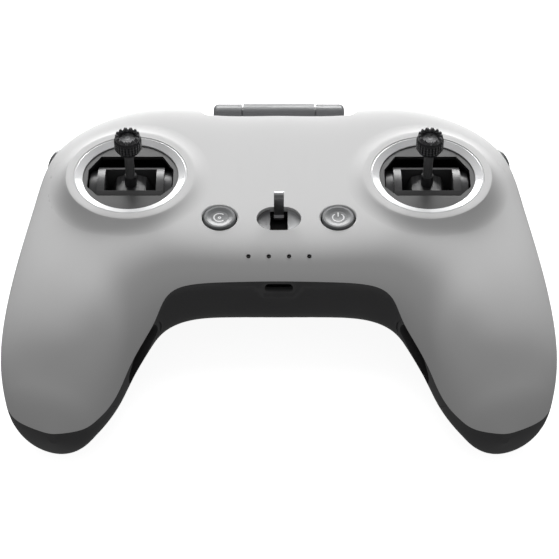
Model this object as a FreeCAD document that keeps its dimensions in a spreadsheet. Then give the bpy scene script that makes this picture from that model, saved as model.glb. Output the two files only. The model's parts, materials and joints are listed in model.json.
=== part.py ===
"""Hand-held radio transmitter with two removable thumb sticks, as a parametric FreeCAD document.

Millimetres. +X is the user's right, +Y points away from the user, +Z points out of the face.
The origin is under the middle of the bounding box, on the surface that the transmitter lies on.
"""

import math
import os

import FreeCAD
import Part
import Sketcher

V = FreeCAD.Vector
X_AXIS, Y_AXIS, Z_AXIS = V(1, 0, 0), V(0, 1, 0), V(0, 0, 1)
LEFT, RIGHT = -1, 1
SIDES = (("left", LEFT), ("right", RIGHT))

doc = FreeCAD.newDocument("radio_transmitter")
sheet = doc.addObject("Spreadsheet::Sheet", "sizes")


# ---------------------------------------------------------------- driving dimensions

class Size:
    """A length that carries both its number and the sheet expression that gives it."""

    def __init__(self, number, text):
        self.number = float(number)
        self.text = text

    def __float__(self):
        return self.number

    def __neg__(self):
        return Size(-self.number, f"(0 - {self.text})")

    def __add__(self, other):
        other = size(other)
        return Size(self.number + other.number, f"({self.text} + {other.text})")

    def __sub__(self, other):
        other = size(other)
        return Size(self.number - other.number, f"({self.text} - {other.text})")

    def __mul__(self, other):
        other = size(other)
        return Size(self.number * other.number, f"({self.text} * {other.text})")

    def __truediv__(self, other):
        other = size(other)
        return Size(self.number / other.number, f"({self.text} / {other.text})")

    __radd__ = __add__
    __rmul__ = __mul__

    def __rsub__(self, other):
        return size(other) - self


def size(value):
    """A Size from a Size or from a plain number."""
    if isinstance(value, Size):
        return value
    return Size(value, f"{float(value):.6f}")


DRIVING = {
    # casing
    "wall": 2.0,
    "seam": 0.12,
    "face_z": 45.0,
    "notch_y": 48.3,
    "notch_half": 23.7,
    # stick gimbals
    "stick_x": 45.5,
    "stick_y": 17.9,
    "pivot_z": 33.0,
    "cover_z": 46.2,
    "cover_plate": 1.2,
    "well_radius": 14.7,
    "ring_radius": 17.4,
    "ring_top": 47.3,
    "collar_radius": 19.8,
    "collar_top": 47.4,
    "yoke_radius": 13.0,
    "yoke_half_x": 10.2,
    "yoke_half_y": 6.9,
    "window_half_x": 7.9,
    "window_half_y": 4.8,
    "carrier_radius": 10.4,
    "carrier_half_y": 4.2,
    "axle_radius": 2.0,
    "running_gap": 0.05,
    "drum_radius": 11.6,
    "drum_end": 12.6,
    "shaft_radius": 1.45,
    "cap_radius": 4.15,
    "cap_base": 56.4,
    "cap_top": 63.3,
    "housing_half_x": 15.0,
    "housing_half_y": 13.6,
    "housing_floor": 22.4,
    # face buttons, lamps and lanyard hook
    "button_x": 17.8,
    "button_y": 0.3,
    "button_radius": 4.85,
    "button_hole": 5.35,
    "button_top": 46.2,
    "lamp_pitch": 6.0,
    "lamp_y": -14.3,
    "lamp_radius": 0.6,
    "pill_half": 6.7,
    "pill_radius": 4.95,
    "hook_width": 3.0,
    "hook_thick": 1.0,
    "hook_pin_y": 4.2,
    "hook_pin_z": 42.6,
    "hook_reach": 9.0,
    # charging socket and boards
    "usb_z": 37.4,
    "usb_width": 8.94,
    "usb_height": 3.0,
    "usb_depth": 7.3,
    "board_top": 35.9,
    "board_thick": 1.2,
    "board_half_x": 24.0,
    # battery
    "cell_radius": 9.1,
    "cell_length": 65.0,
    "cell_z": 11.6,
    "cell_y": 17.9,
    # antenna
    "hinge_y": 52.8,
    "hinge_z": 39.2,
    "knuckle_radius": 5.2,
    "ear_radius": 5.1,
    "paddle_half": 21.0,
    "knuckle_half": 11.7,
    "knuckle_gap": 0.5,
    "paddle_low": 8.5,
    # shoulder controls
    "dial_x": -38.0,
    "dial_y": 48.9,
    "dial_z": 36.2,
    "dial_radius": 7.2,
    "dial_width": 4.6,
}

D = {}
for row, (name, number) in enumerate(DRIVING.items(), start=1):
    sheet.set(f"A{row}", name)
    sheet.set(f"B{row}", str(number))
    sheet.setAlias(f"B{row}", name)
    D[name] = Size(number, f"sizes.{name}")
doc.recompute()


# ---------------------------------------------------------------- document helpers

nodes = {}


def bind(obj, prop, value):
    """Ties a property to the sheet."""
    value = size(value)
    obj.setExpression(prop, value.text)


def at(obj, x=0.0, y=0.0, z=0.0, axis=Z_AXIS, turn=None):
    """Places an object: its own +Z along axis, or a given rotation, and its position tied to the sheet."""
    rotation = turn if turn is not None else FreeCAD.Rotation(Z_AXIS, axis)
    obj.Placement = FreeCAD.Placement(V(float(x), float(y), float(z)), rotation)
    for letter, value in (("x", x), ("y", y), ("z", z)):
        bind(obj, f"Placement.Base.{letter}", value)
    return obj


def cylinder(label, radius, height, x=0.0, y=0.0, z=0.0, axis=Z_AXIS, turn=None):
    obj = doc.addObject("Part::Cylinder", label)
    bind(obj, "Radius", radius)
    bind(obj, "Height", height)
    return at(obj, x, y, z, axis, turn)


def cone(label, low_radius, high_radius, height, x=0.0, y=0.0, z=0.0, axis=Z_AXIS, turn=None):
    obj = doc.addObject("Part::Cone", label)
    bind(obj, "Radius1", low_radius)
    bind(obj, "Radius2", high_radius)
    bind(obj, "Height", height)
    return at(obj, x, y, z, axis, turn)


def box(label, dx, dy, dz, x=0.0, y=0.0, z=0.0):
    """A box centred on x and y, standing on z."""
    obj = doc.addObject("Part::Box", label)
    bind(obj, "Length", dx)
    bind(obj, "Width", dy)
    bind(obj, "Height", dz)
    return at(obj, size(x) - size(dx) / 2, size(y) - size(dy) / 2, z)


def turned_box(label, dx, dy, dz, base, turn):
    """A box centred on its own x, y and z, set at a point with a rotation."""
    obj = doc.addObject("Part::Box", label)
    bind(obj, "Length", dx)
    bind(obj, "Width", dy)
    bind(obj, "Height", dz)
    middle = V(float(size(dx)) / 2, float(size(dy)) / 2, float(size(dz)) / 2)
    obj.Placement = FreeCAD.Placement(base - turn.multVec(middle), turn)
    return obj


def cut(label, base, *tools):
    tool = tools[0] if len(tools) == 1 else fuse(label + "_tool", *tools)
    obj = doc.addObject("Part::Cut", label)
    obj.Base, obj.Tool = base, tool
    return obj


def fuse(label, *shapes):
    obj = doc.addObject("Part::MultiFuse", label)
    obj.Shapes = list(shapes)
    return obj


def common(label, *shapes):
    obj = doc.addObject("Part::MultiCommon", label)
    obj.Shapes = list(shapes)
    return obj


def compound(label, *shapes):
    """Identical loose pieces that share one node."""
    obj = doc.addObject("Part::Compound", label)
    obj.Links = list(shapes)
    return obj


def feature(label, shape):
    obj = doc.addObject("Part::Feature", label)
    obj.Shape = shape
    return obj


def rounded(label, base, radius, pick):
    """Fillets the edges of base that pick chooses."""
    doc.recompute()
    obj = doc.addObject("Part::Fillet", label)
    obj.Base = base
    chosen = [i for i, edge in enumerate(base.Shape.Edges, start=1) if pick(edge)]
    obj.Edges = [(i, float(radius), float(radius)) for i in chosen]
    return obj


def node(name, obj):
    """Names a finished sub-part."""
    obj.Label = name
    nodes[name] = obj
    return obj


# ---------------------------------------------------------------- sketch helpers

def new_body(name):
    return doc.addObject("PartDesign::Body", name)


def origin_plane(body, role):
    return next(f for f in body.Origin.OriginFeatures if f.Role == role)


def new_sketch(body, role, name, offset=0.0):
    sketch = body.newObject("Sketcher::SketchObject", name)
    sketch.AttachmentSupport = [(origin_plane(body, role), "")]
    sketch.MapMode = "FlatFace"
    if isinstance(offset, Size) or offset:
        sketch.AttachmentOffset = FreeCAD.Placement(V(0, 0, float(offset)), FreeCAD.Rotation())
        bind(sketch, "AttachmentOffset.Base.z", offset)
    return sketch


def draw_outline(sketch, points):
    """A closed outline of straight lines, each corner tied to the sheet by its two coordinates."""
    corners = [(size(x), size(y)) for x, y in points]
    first = sketch.GeometryCount
    for i, (x, y) in enumerate(corners):
        nx, ny = corners[(i + 1) % len(corners)]
        sketch.addGeometry(Part.LineSegment(V(float(x), float(y), 0), V(float(nx), float(ny), 0)), False)
    for i, (x, y) in enumerate(corners):
        line, before = first + i, first + (i - 1) % len(corners)
        sketch.addConstraint(Sketcher.Constraint("Coincident", before, 2, line, 1))
        for kind, value in (("DistanceX", x), ("DistanceY", y)):
            if abs(float(value)) < 1e-9:
                axis = -2 if kind == "DistanceX" else -1
                sketch.addConstraint(Sketcher.Constraint("PointOnObject", line, 1, axis))
                continue
            number = sketch.addConstraint(Sketcher.Constraint(kind, -1, 1, line, 1, float(value)))
            sketch.setExpression(f"Constraints[{number}]", value.text)


def draw_circle(sketch, x, y, radius):
    x, y, radius = size(x), size(y), size(radius)
    index = sketch.addGeometry(Part.Circle(V(float(x), float(y), 0), Z_AXIS, float(radius)), False)
    number = sketch.addConstraint(Sketcher.Constraint("Radius", index, float(radius)))
    sketch.setExpression(f"Constraints[{number}]", radius.text)
    for kind, value, axis in (("DistanceX", x, -2), ("DistanceY", y, -1)):
        if abs(float(value)) < 1e-9:
            sketch.addConstraint(Sketcher.Constraint("PointOnObject", index, 3, axis))
        else:
            number = sketch.addConstraint(Sketcher.Constraint(kind, -1, 1, index, 3, float(value)))
            sketch.setExpression(f"Constraints[{number}]", value.text)


def revolve(body, sketch, name):
    """Turns a sketch on the XZ plane about the sketch's vertical axis."""
    feature_ = body.newObject("PartDesign::Revolution", name)
    feature_.Profile = sketch
    feature_.ReferenceAxis = (sketch, ["V_Axis"])
    feature_.Angle = 360.0
    sketch.Visibility = False
    return feature_


def pad(body, sketch, name, length, midplane=False):
    feature_ = body.newObject("PartDesign::Pad", name)
    feature_.Profile = sketch
    bind(feature_, "Length", length)
    if midplane:
        feature_.SideType = "Symmetric"
    return feature_


def pocket(body, sketch, name, length, midplane=False, reverse=False):
    feature_ = body.newObject("PartDesign::Pocket", name)
    feature_.Profile = sketch
    bind(feature_, "Length", length)
    if midplane:
        feature_.SideType = "Symmetric"
    feature_.Reversed = reverse
    return feature_


def polar(body, original, name, count, role="Z_Axis"):
    pattern = body.newObject("PartDesign::PolarPattern", name)
    pattern.Originals = [original]
    pattern.Axis = (origin_plane(body, role), [""])
    pattern.Angle = 360
    pattern.Occurrences = count
    body.Tip = pattern
    return pattern


# ---------------------------------------------------------------- casing form

# Sections across the casing from its middle (run 0) to the tip of a grip (run 1). Each section runs
# from the inner edge, near the user's palms, to the outer edge, and is a squared-off oval:
# run, inner x, inner y, outer x, outer y, inner mid z, outer mid z, inner top, outer top,
# inner bottom, outer bottom, and the squareness of the top and the bottom at each edge.
STATIONS = (
    (0.00, 0.0, -22.0, 0.0, 54.0, 31.0, 25.0, 46.0, 45.6, 17.8, -0.5, 2.9, 9.0, 3.0, 4.0),
    (0.12, 14.0, -22.0, 18.0, 54.0, 31.0, 25.0, 46.0, 45.6, 17.8, -0.5, 2.9, 9.0, 3.0, 4.0),
    (0.22, 25.5, -22.3, 38.0, 54.8, 30.0, 25.0, 46.0, 46.6, 17.0, -0.5, 2.8, 8.5, 3.0, 4.0),
    (0.32, 33.8, -24.4, 58.0, 49.6, 27.0, 25.0, 46.0, 45.2, 14.0, -0.5, 2.7, 7.5, 3.0, 3.5),
    (0.42, 38.3, -28.9, 71.5, 37.2, 23.0, 25.0, 45.8, 43.9, 10.0, -0.5, 2.6, 5.5, 2.8, 3.0),
    (0.52, 41.6, -34.1, 76.4, 20.5, 20.0, 24.0, 45.2, 41.8, 6.0, -0.5, 2.5, 4.0, 2.5, 2.8),
    (0.62, 44.3, -40.1, 79.9, 0.5, 18.3, 22.0, 43.8, 39.5, 3.0, -0.5, 2.5, 3.2, 2.3, 2.6),
    (0.72, 46.7, -45.8, 82.3, -18.5, 16.8, 20.0, 41.0, 36.5, 1.0, -0.5, 2.4, 2.8, 2.1, 2.5),
    (0.81, 49.6, -50.8, 82.6, -34.5, 16.0, 18.0, 36.5, 32.5, 1.0, -0.2, 2.3, 2.5, 2.1, 2.4),
    (0.89, 53.0, -55.0, 80.4, -46.2, 14.5, 15.5, 30.5, 28.0, 2.0, 1.0, 2.2, 2.3, 2.1, 2.3),
    (0.95, 57.5, -57.9, 75.8, -53.4, 13.3, 14.0, 25.0, 23.5, 3.2, 3.0, 2.1, 2.1, 2.0, 2.1),
    (1.00, 65.0, -59.2, 66.0, -59.1, 12.8, 13.0, 13.6, 13.6, 12.2, 12.2, 2.0, 2.0, 2.0, 2.0),
)

# Height of the seam between the two shells along the same run: inner side, outer side.
SEAM = (
    (0.00, 39.4, 27.0), (0.12, 39.2, 27.0), (0.22, 38.4, 27.0), (0.27, 37.3, 26.8), (0.32, 34.4, 26.5),
    (0.37, 29.6, 26.0), (0.42, 26.9, 25.5), (0.47, 25.2, 25.0), (0.52, 23.9, 24.4), (0.62, 22.0, 23.0),
    (0.72, 19.6, 20.4), (0.81, 17.8, 17.4), (0.89, 16.9, 15.0), (0.95, 16.1, 14.6), (1.00, 15.6, 15.5),
)

# How far the lower edge of the storage insert lies under the seam along the run.
INSERT_DROP = (
    (0.00, -4.0), (0.22, -4.0), (0.30, -4.0), (0.345, -1.0), (0.38, 8.0), (0.44, 11.0), (0.58, 10.0),
    (0.68, 7.5), (0.75, 4.2), (0.81, -1.5), (0.86, -4.0), (1.00, -4.0),
)


def cubic(xs, ys):
    """A natural cubic spline through the points, as a function."""
    count = len(xs)
    gaps = [xs[i + 1] - xs[i] for i in range(count - 1)]
    diagonal, right = [1.0] * count, [0.0] * count
    for i in range(1, count - 1):
        diagonal[i] = 2 * (gaps[i - 1] + gaps[i])
        right[i] = 6 * ((ys[i + 1] - ys[i]) / gaps[i] - (ys[i] - ys[i - 1]) / gaps[i - 1])
    for i in range(2, count - 1):
        share = gaps[i - 1] / diagonal[i - 1]
        diagonal[i] -= share * gaps[i - 1]
        right[i] -= share * right[i - 1]
    bend = [0.0] * count
    for i in range(count - 2, 0, -1):
        bend[i] = (right[i] - gaps[i] * bend[i + 1]) / diagonal[i]

    def value(x):
        i = 0
        while i < count - 2 and x > xs[i + 1]:
            i += 1
        a = (xs[i + 1] - x) / gaps[i]
        b = 1 - a
        curve = (a ** 3 - a) * bend[i] + (b ** 3 - b) * bend[i + 1]
        return a * ys[i] + b * ys[i + 1] + curve * gaps[i] ** 2 / 6

    return value


def mirrored(rows, column, odd=False):
    """One column of a table as a spline over the run from -1 (left grip) to 1 (right grip)."""
    runs = [row[0] for row in rows]
    values = [row[column] for row in rows]
    sign = -1 if odd else 1
    return cubic([-r for r in runs[:0:-1]] + runs, [sign * v for v in values[:0:-1]] + values)


COLUMNS = [mirrored(STATIONS, k, odd=k in (1, 3)) for k in range(1, 15)]
SEAM_INNER, SEAM_OUTER = mirrored(SEAM, 1), mirrored(SEAM, 2)
DROP = mirrored(INSERT_DROP, 1)


def ease(x):
    x = min(1.0, max(0.0, x))
    return x * x * (3 - 2 * x)


def casing_point(run, angle):
    """A point of the casing: angle 0 is the outer edge, 90 degrees the top, 180 the inner edge."""
    xi, yi, xo, yo, zi, zo, ti, to, bi, bo, nti, nto, nbi, nbo = [column(run) for column in COLUMNS]
    c, s = math.cos(angle), math.sin(angle)
    outer, top = (1 + c) / 2, ease(s + 0.5)
    power = top * (nto * outer + nti * (1 - outer)) + (1 - top) * (nbo * outer + nbi * (1 - outer))
    reach = (abs(c) ** power + abs(s) ** power) ** (-1 / power)
    across, up = (1 + c * reach) / 2, s * reach
    x, y, mid = xi + (xo - xi) * across, yi + (yo - yi) * across, zi + (zo - zi) * across
    if up > 0:
        return V(x, y, mid + up * (ti + (to - ti) * across - mid))
    return V(x, y, mid + up * (mid - bi - (bo - bi) * ease(across / 0.5)))


def casing_normal(run, angle, step=1e-3):
    """The outward normal of the casing."""
    along = casing_point(min(1, run + step), angle) - casing_point(max(-1, run - step), angle)
    around = casing_point(run, angle + step) - casing_point(run, angle - step)
    return around.cross(along).normalize()


def casing_angle(run, height, low, high):
    """The angle between low and high at which the casing passes through a height."""
    for _ in range(40):
        middle = (low + high) / 2
        if (casing_point(run, middle).z - height) * (casing_point(run, low).z - height) > 0:
            low = middle
        else:
            high = middle
    return (low + high) / 2


def seat(run, angle):
    """A point of the casing with a rotation: +Z along the outward normal, +X along the run."""
    along = casing_point(run + 0.01, angle) - casing_point(run - 0.01, angle)
    out = casing_normal(run, angle)
    side = out.cross(along)
    return casing_point(run, angle), FreeCAD.Rotation(along, side, out, "ZXY")


def closed_skin(inset, reach, rows=60, columns=56):
    """A solid inside the casing form, its surface a given distance in from the outside."""
    grid = []
    for i in range(rows + 1):
        part = -1 + 2 * i / rows
        run = reach * (0.6 * part + 0.4 * math.sin(part * math.pi / 2))
        row = []
        for j in range(columns):
            angle = 2 * math.pi * j / columns
            point = casing_point(run, angle)
            row.append(point - casing_normal(run, angle) * inset if inset else point)
        if i in (0, rows):
            start, end = casing_point(run, 0), casing_point(run, math.pi)
            flat = V(end.y - start.y, start.x - end.x, 0).normalize()
            middle = sum(row, V()) * (1 / columns)
            row = [p - flat * (p - middle).dot(flat) for p in row]
        grid.append(row)
    side = smooth_tube(grid).toShape()
    caps = [Part.Face(Part.Wire(edge)) for edge in side.Edges if edge.Length < 150]
    shell = Part.Shell([side] + caps)
    shell.sewShape()
    return Part.Solid(shell)


def smooth_tube(grid):
    """A cubic surface, closed round each row of the grid, that passes close by every point."""
    rows, columns = len(grid), len(grid[0])
    poles = [list(row) for row in grid]
    for _ in range(5):
        turned = [[(row[j - 1] + row[j] * 4 + row[(j + 1) % columns]) * (1 / 6) for j in range(columns)]
                  for row in poles]
        for i in range(rows):
            for j in range(columns):
                reached = turned[i][j]
                if 0 < i < rows - 1:
                    reached = (turned[i - 1][j] + turned[i][j] * 4 + turned[i + 1][j]) * (1 / 6)
                poles[i][j] = poles[i][j] + grid[i][j] - reached
    surface = Part.BSplineSurface()
    knots = list(range(rows - 2))
    mults = [4] + [1] * (rows - 4) + [4]
    surface.buildFromPolesMultsKnots(
        poles, mults, [1] * (columns + 1), knots, list(range(columns + 1)), False, True, 3, 3)
    return surface


def above(shift, drop=None, margin=9.0):
    """Everything above the seam surface moved by shift, as a solid."""
    grid = []
    runs = [-1.06, -1.03] + [-1 + i / 40 for i in range(81)] + [1.03, 1.06]
    for run in runs:
        inside = max(-1, min(1, run))
        xi, yi, xo, yo = [COLUMNS[k](inside) for k in range(4)]
        beyond = (abs(run) - abs(inside)) * 100
        start, end = V(xi, yi - beyond, 0), V(xo, yo - beyond, 0)
        width = (end - start).Length
        outward = (end - start) * (1 / width)
        margins = (margin * min(1.0, 0.35 + width / 60), margin)
        row = []
        for k in range(13):
            distance = -margins[0] + (width + sum(margins)) * k / 12
            share = min(1.0, max(0.0, distance / width))
            z = SEAM_INNER(inside) * (1 - ease(share)) + SEAM_OUTER(inside) * ease(share)
            if drop:
                z -= drop(inside)
            row.append(start + outward * distance + V(0, 0, z + shift))
        grid.append(row)
    surface = Part.BSplineSurface()
    surface.interpolate(grid)
    return surface.toShape().extrude(V(0, 0, 80))


def revolved(profile, x, y):
    """A ring or disc turned about a vertical line; profile is a list of (radius, z)."""
    points = [V(r, 0, z) for r, z in profile]
    face = Part.Face(Part.makePolygon(points + points[:1]))
    solid = face.revolve(V(), Z_AXIS, 360)
    solid.translate(V(x, y, 0))
    return solid


def prism(outline, low, high):
    """An upright prism over an outline in plan."""
    points = [V(x, y, low) for x, y in outline]
    return Part.Face(Part.makePolygon(points + points[:1])).extrude(V(0, 0, high - low))


def block(x0, x1, y0, y1, z0, z1):
    return Part.makeBox(x1 - x0, y1 - y0, z1 - z0, V(x0, y0, z0))


def rod(radius, start, end):
    """A round bar between two points."""
    return Part.makeCylinder(radius, (end - start).Length, start, end - start)


def oval_rod(width, height, start, end, wide=X_AXIS):
    """A bar with a flat-sided oval section between two points, its long side along wide."""
    radius = height / 2
    shift = wide * (width / 2 - radius)
    rise = (end - start).cross(wide).normalize() * radius
    corners = [start - shift - rise, start + shift - rise, start + shift + rise, start - shift + rise]
    slab = Part.Face(Part.makePolygon(corners + corners[:1])).extrude(end - start)
    bar = slab.multiFuse([rod(radius, start - shift, end - shift), rod(radius, start + shift, end + shift)])
    return bar.removeSplitter()


def seated(shape, place):
    """A copy of a shape drawn about the origin, moved to a seat on the casing."""
    moved = shape.copy()
    moved.Placement = FreeCAD.Placement(place[0], place[1])
    return moved


def soft_box(dx, dy, dz, radius, z=0.0):
    """A box centred on x and y with rounded upright edges, standing on z."""
    solid = Part.makeBox(dx, dy, dz, V(-dx / 2, -dy / 2, z))
    upright = [e for e in solid.Edges if abs(e.tangentAt(e.FirstParameter).z) > 0.9]
    return solid.makeFillet(radius, upright)


# ---------------------------------------------------------------- places used by more than one part

N = {name: float(value) for name, value in D.items()}
STICKS = {side: V(sign * N["stick_x"], N["stick_y"], N["pivot_z"]) for side, sign in SIDES}
MODE_SEAT = seat(-0.310, math.radians(14))
PAUSE_SEAT = seat(-0.415, math.radians(27))
CUSTOM_SEAT = seat(0.240, math.radians(14))
START_SEAT = seat(0.415, math.radians(27))
POSTS = ((46.5, 40.6), (39.5, -9.5), (68.0, -32.0))
BOARD_POSTS = ((20.5, -15.5), (20.5, 24.0))
LUGS = ((17.6, -8.5), (17.6, 8.5), (-17.6, -8.5), (-17.6, 8.5))


def slot_seat(sign):
    """The middle of a stick storage slot, on the inner flank of a grip, with its length along +X."""
    run = sign * 0.495
    angle = casing_angle(run, 21.5, math.pi / 2, math.pi * 1.3)
    point, out = casing_point(run, angle), casing_normal(run, angle)
    ahead = casing_point(sign * 0.56, casing_angle(sign * 0.56, 17.5, math.pi / 2, math.pi * 1.4))
    along = ahead - point
    return point, FreeCAD.Rotation(along, out.cross(along), out, "ZXY")


SLOTS = {side: slot_seat(sign) for side, sign in SIDES}


# ---------------------------------------------------------------- casing

def antenna_clearance(extra):
    """The hollow along the back edge that the antenna barrel lies in."""
    y, z, radius = N["hinge_y"], N["hinge_z"], N["knuckle_radius"] + 0.45 + extra
    half = N["notch_half"] + extra
    barrel = rod(radius, V(-half, y, z), V(half, y, z))
    edge = N["notch_y"] - extra
    outline = [(-half, edge), (half, edge), (half + 6, 60.0), (-half - 6, 60.0)]
    return barrel.fuse(prism(outline, z, 60.0))


def make_shells():
    outer = closed_skin(0.0, 0.996)
    outer = outer.cut(block(-100, 100, -100, 100, -10, 0))
    inner = closed_skin(N["wall"], 0.93, 56, 48)
    hollow = inner.cut(antenna_clearance(2.0))
    bulges = []
    for side, sign in SIDES:
        x, y = sign * N["stick_x"], N["stick_y"]
        top, collar = N["collar_top"], N["collar_radius"]
        profile = [(0, 36), (0, top), (collar, top), (collar + 1.3, top - 0.5), (collar + 3.6, top - 2.3),
                   (collar + 6.0, top - 5.2), (collar + 7.0, top - 8.5), (collar + 7.0, 36)]
        bulges.append(revolved(profile, x, y))
    skin = outer.multiFuse(bulges).cut(hollow)
    posts = [Part.makeCylinder(3.0, 60, V(sign * x, y, -5)) for x, y in POSTS for sign in (LEFT, RIGHT)]
    columns = outer.common(posts[0].multiFuse(posts[1:]))
    skin = skin.fuse(columns)
    return outer, hollow, skin


def top_openings():
    """Everything that is cut from the top shell."""
    tools = [antenna_clearance(0.0)]
    for side, sign in SIDES:
        x, y = sign * N["stick_x"], N["stick_y"]
        tools.append(Part.makeCylinder(N["ring_radius"] + 0.05, 30, V(x, y, 38)))
        tools.append(Part.makeCylinder(N["button_hole"], 20, V(sign * N["button_x"], N["button_y"], 38)))
        for k in (0.5, 1.5):
            tools.append(Part.makeCylinder(N["lamp_radius"] + 0.05, 20, V(sign * k * N["lamp_pitch"], N["lamp_y"], 38)))
    half, radius = N["pill_half"], N["pill_radius"]
    tools.append(oval_rod(2 * half, 2 * radius, V(0, 0, 38), V(0, 0, 60)))
    tools.append(dial_window())
    tools.append(block(-6.05, 6.05, 40, 50, 35.95, 41.05))
    tools.append(seated(soft_box(13.0, 6.4, 8.0, 1.5, -5.0), MODE_SEAT))
    tools.append(seated(soft_box(13.0, 6.4, 8.0, 1.5, -5.0), CUSTOM_SEAT))
    tools.append(seated(Part.makeCylinder(4.35, 10, V(0, 0, -6)), PAUSE_SEAT))
    tools.append(seated(Part.makeCylinder(4.35, 10, V(0, 0, -6)), START_SEAT))
    return tools


def dial_window():
    x, y, z = N["dial_x"], N["dial_y"], N["dial_z"]
    half, radius = N["dial_width"] / 2 + 0.4, N["dial_radius"] + 0.5
    return rod(radius, V(x - half, y, z), V(x + half, y, z))


def board_posts():
    """Short pillars that hold the main board up under the face."""
    return [Part.makeCylinder(2.4, 9.2, V(sign * x, y, N["board_top"])) for x, y in BOARD_POSTS
            for sign in (LEFT, RIGHT)]


def gimbal_posts():
    pillars = []
    for side, sign in SIDES:
        for x, y in LUGS:
            centre = STICKS[side] + V(x, y, 0)
            pillars.append(Part.makeCylinder(2.3, 5.6, V(centre.x, centre.y, 39.1)))
    return pillars


def trim_outline():
    """The dark band at the chin seen from the front, with the dip under the charging socket."""
    return [(-37.0, 60.0), (-37.0, 33.6), (-33.0, 36.2), (-28.0, 37.5), (-22.0, 38.0), (-7.0, 38.1), (-5.1, 34.4),
            (-4.2, 33.9), (4.2, 33.9), (5.1, 34.4), (7.0, 38.1), (22.0, 38.0), (28.0, 37.5), (33.0, 36.2),
            (37.0, 33.6), (37.0, 60.0)]


def make_casing():
    outer, hollow, skin = make_shells()
    gap = N["seam"]
    upper = above(0.0)
    under = above(-gap)
    top = skin.common(upper)
    top = top.multiFuse([p.common(outer) for p in board_posts() + gimbal_posts()])
    tools = top_openings()
    top = top.cut(tools[0].multiFuse(tools[1:]))
    holes = [Part.makeCylinder(0.8, 4.2, V(sign * x, y, N["board_top"])) for x, y in BOARD_POSTS
             for sign in (LEFT, RIGHT)]
    for side, sign in SIDES:
        holes += [Part.makeCylinder(0.8, 3.6, STICKS[side] + V(x, y, 39.1 - N["pivot_z"])) for x, y in LUGS]
    for x, y in POSTS:
        for sign in (LEFT, RIGHT):
            holes.append(Part.makeCylinder(1.1, 38.0 if y > -20 else 26.5, V(sign * x, y, 0)))
    top = top.cut(holes[0].multiFuse(holes[1:]))

    bottom = skin.cut(under)
    points = [V(x, -30, z) for x, z in trim_outline()]
    band = Part.Face(Part.makePolygon(points + points[:1])).extrude(V(0, 13.5, 0))
    trim = bottom.common(band)
    socket = oval_rod(N["usb_width"] - 0.5, N["usb_height"] - 0.5, V(0, -30, N["usb_z"]), V(0, -10, N["usb_z"]))
    width, height = N["usb_width"] + 0.1, N["usb_height"] + 0.1
    room = oval_rod(width, height, V(0, -19.35, N["usb_z"]), V(0, -10, N["usb_z"]))
    trim = trim.cut(socket.fuse(room))
    bottom = bottom.cut(band.fuse(block(-50, 50, -30, -16.5, 44, 60)))

    inserts = {}
    lower, cleared = above(-gap, DROP), above(-gap * 2, DROP)
    for side, sign in SIDES:
        strip = bottom.common(lower).common(flank_zone(sign, 0.0))
        bottom = bottom.cut(cleared.common(flank_zone(sign, gap)))
        holder = seated(soft_box(21.6, 10.4, 12.0, 4.6, -11.2), SLOTS[side]).common(outer)
        holder = holder.cut(above(-gap))
        slot = seated(soft_box(19.0, 7.8, 12.0, 3.6, -10.0), SLOTS[side])
        bottom = bottom.cut(seated(soft_box(21.8, 10.6, 14.0, 4.7, -11.3), SLOTS[side]))
        inserts[side] = strip.fuse(holder).cut(slot)
    bottom = bottom.multiFuse(cell_ribs(outer))
    bottom = bottom.cut(back_recess().fuse(dial_window()))
    wells = []
    for x, y in POSTS:
        for sign in (LEFT, RIGHT):
            wells.append(Part.makeCylinder(1.3, 40, V(sign * x, y, 0)))
            wells.append(Part.makeCylinder(2.2, 17.0 if y > -20 else 9.0, V(sign * x, y, -1)))
    bottom = bottom.cut(wells[0].multiFuse(wells[1:]))
    return top, bottom, trim, inserts, outer, hollow


def flank_zone(sign, extra):
    """The inner flank of one grip in plan, between the chin and the tip."""
    runs = (0.30, 0.36, 0.42, 0.48, 0.54, 0.60, 0.66, 0.72, 0.78, 0.84)
    inside, outside = [], []
    for run in runs:
        xi, yi, xo, yo = [COLUMNS[k](run) for k in range(4)]
        length = math.hypot(xo - xi, yo - yi)
        dx, dy = (xo - xi) / length, (yo - yi) / length
        depth = 6.0 + extra
        outside.append((sign * (xi - 6 * dx), yi - 6 * dy))
        inside.append((sign * (xi + depth * dx), yi + depth * dy))
    return prism(outside + inside[::-1], -5, 60)


def cells(extra):
    """The two battery cells, side by side under the board."""
    half, radius = N["cell_length"] / 2 + extra, N["cell_radius"] + extra
    bars = []
    for shift in (-9.8, 9.8):
        y = N["cell_y"] + 8.1 + shift
        bars.append(rod(radius, V(-half, y, N["cell_z"]), V(half, y, N["cell_z"])))
    return bars


def cell_ribs(outer):
    """Cradle ribs in the bottom shell."""
    ribs = []
    holes = cells(0.06)
    for x in (-27.0, -9.0, 9.0, 27.0):
        rib = block(x - 0.9, x + 0.9, 9.0, 43.5, -1.0, 8.0).common(outer)
        ribs.append(rib.cut(holes[0].fuse(holes[1])))
    return [solid for rib in ribs for solid in rib.Solids]


def back_recess():
    """Clearance for the folded antenna in the back wall, above and below the barrel."""
    y, z = N["hinge_y"], N["hinge_z"]
    radius, half = N["knuckle_radius"] + 0.45, N["notch_half"]
    return rod(radius, V(-half, y, z), V(half, y, z))


top_shape, bottom_shape, trim_shape, insert_shapes, outer_form, hollow_form = make_casing()
node("top_shell", feature("top_shell_form", top_shape))
node("bottom_shell", feature("bottom_shell_form", bottom_shape))
node("front_trim", feature("front_trim_form", trim_shape))
for side_name, _ in SIDES:
    node(f"{side_name}_storage_insert", feature(f"{side_name}_insert_form", insert_shapes[side_name]))


# ---------------------------------------------------------------- gimbals and sticks

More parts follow.
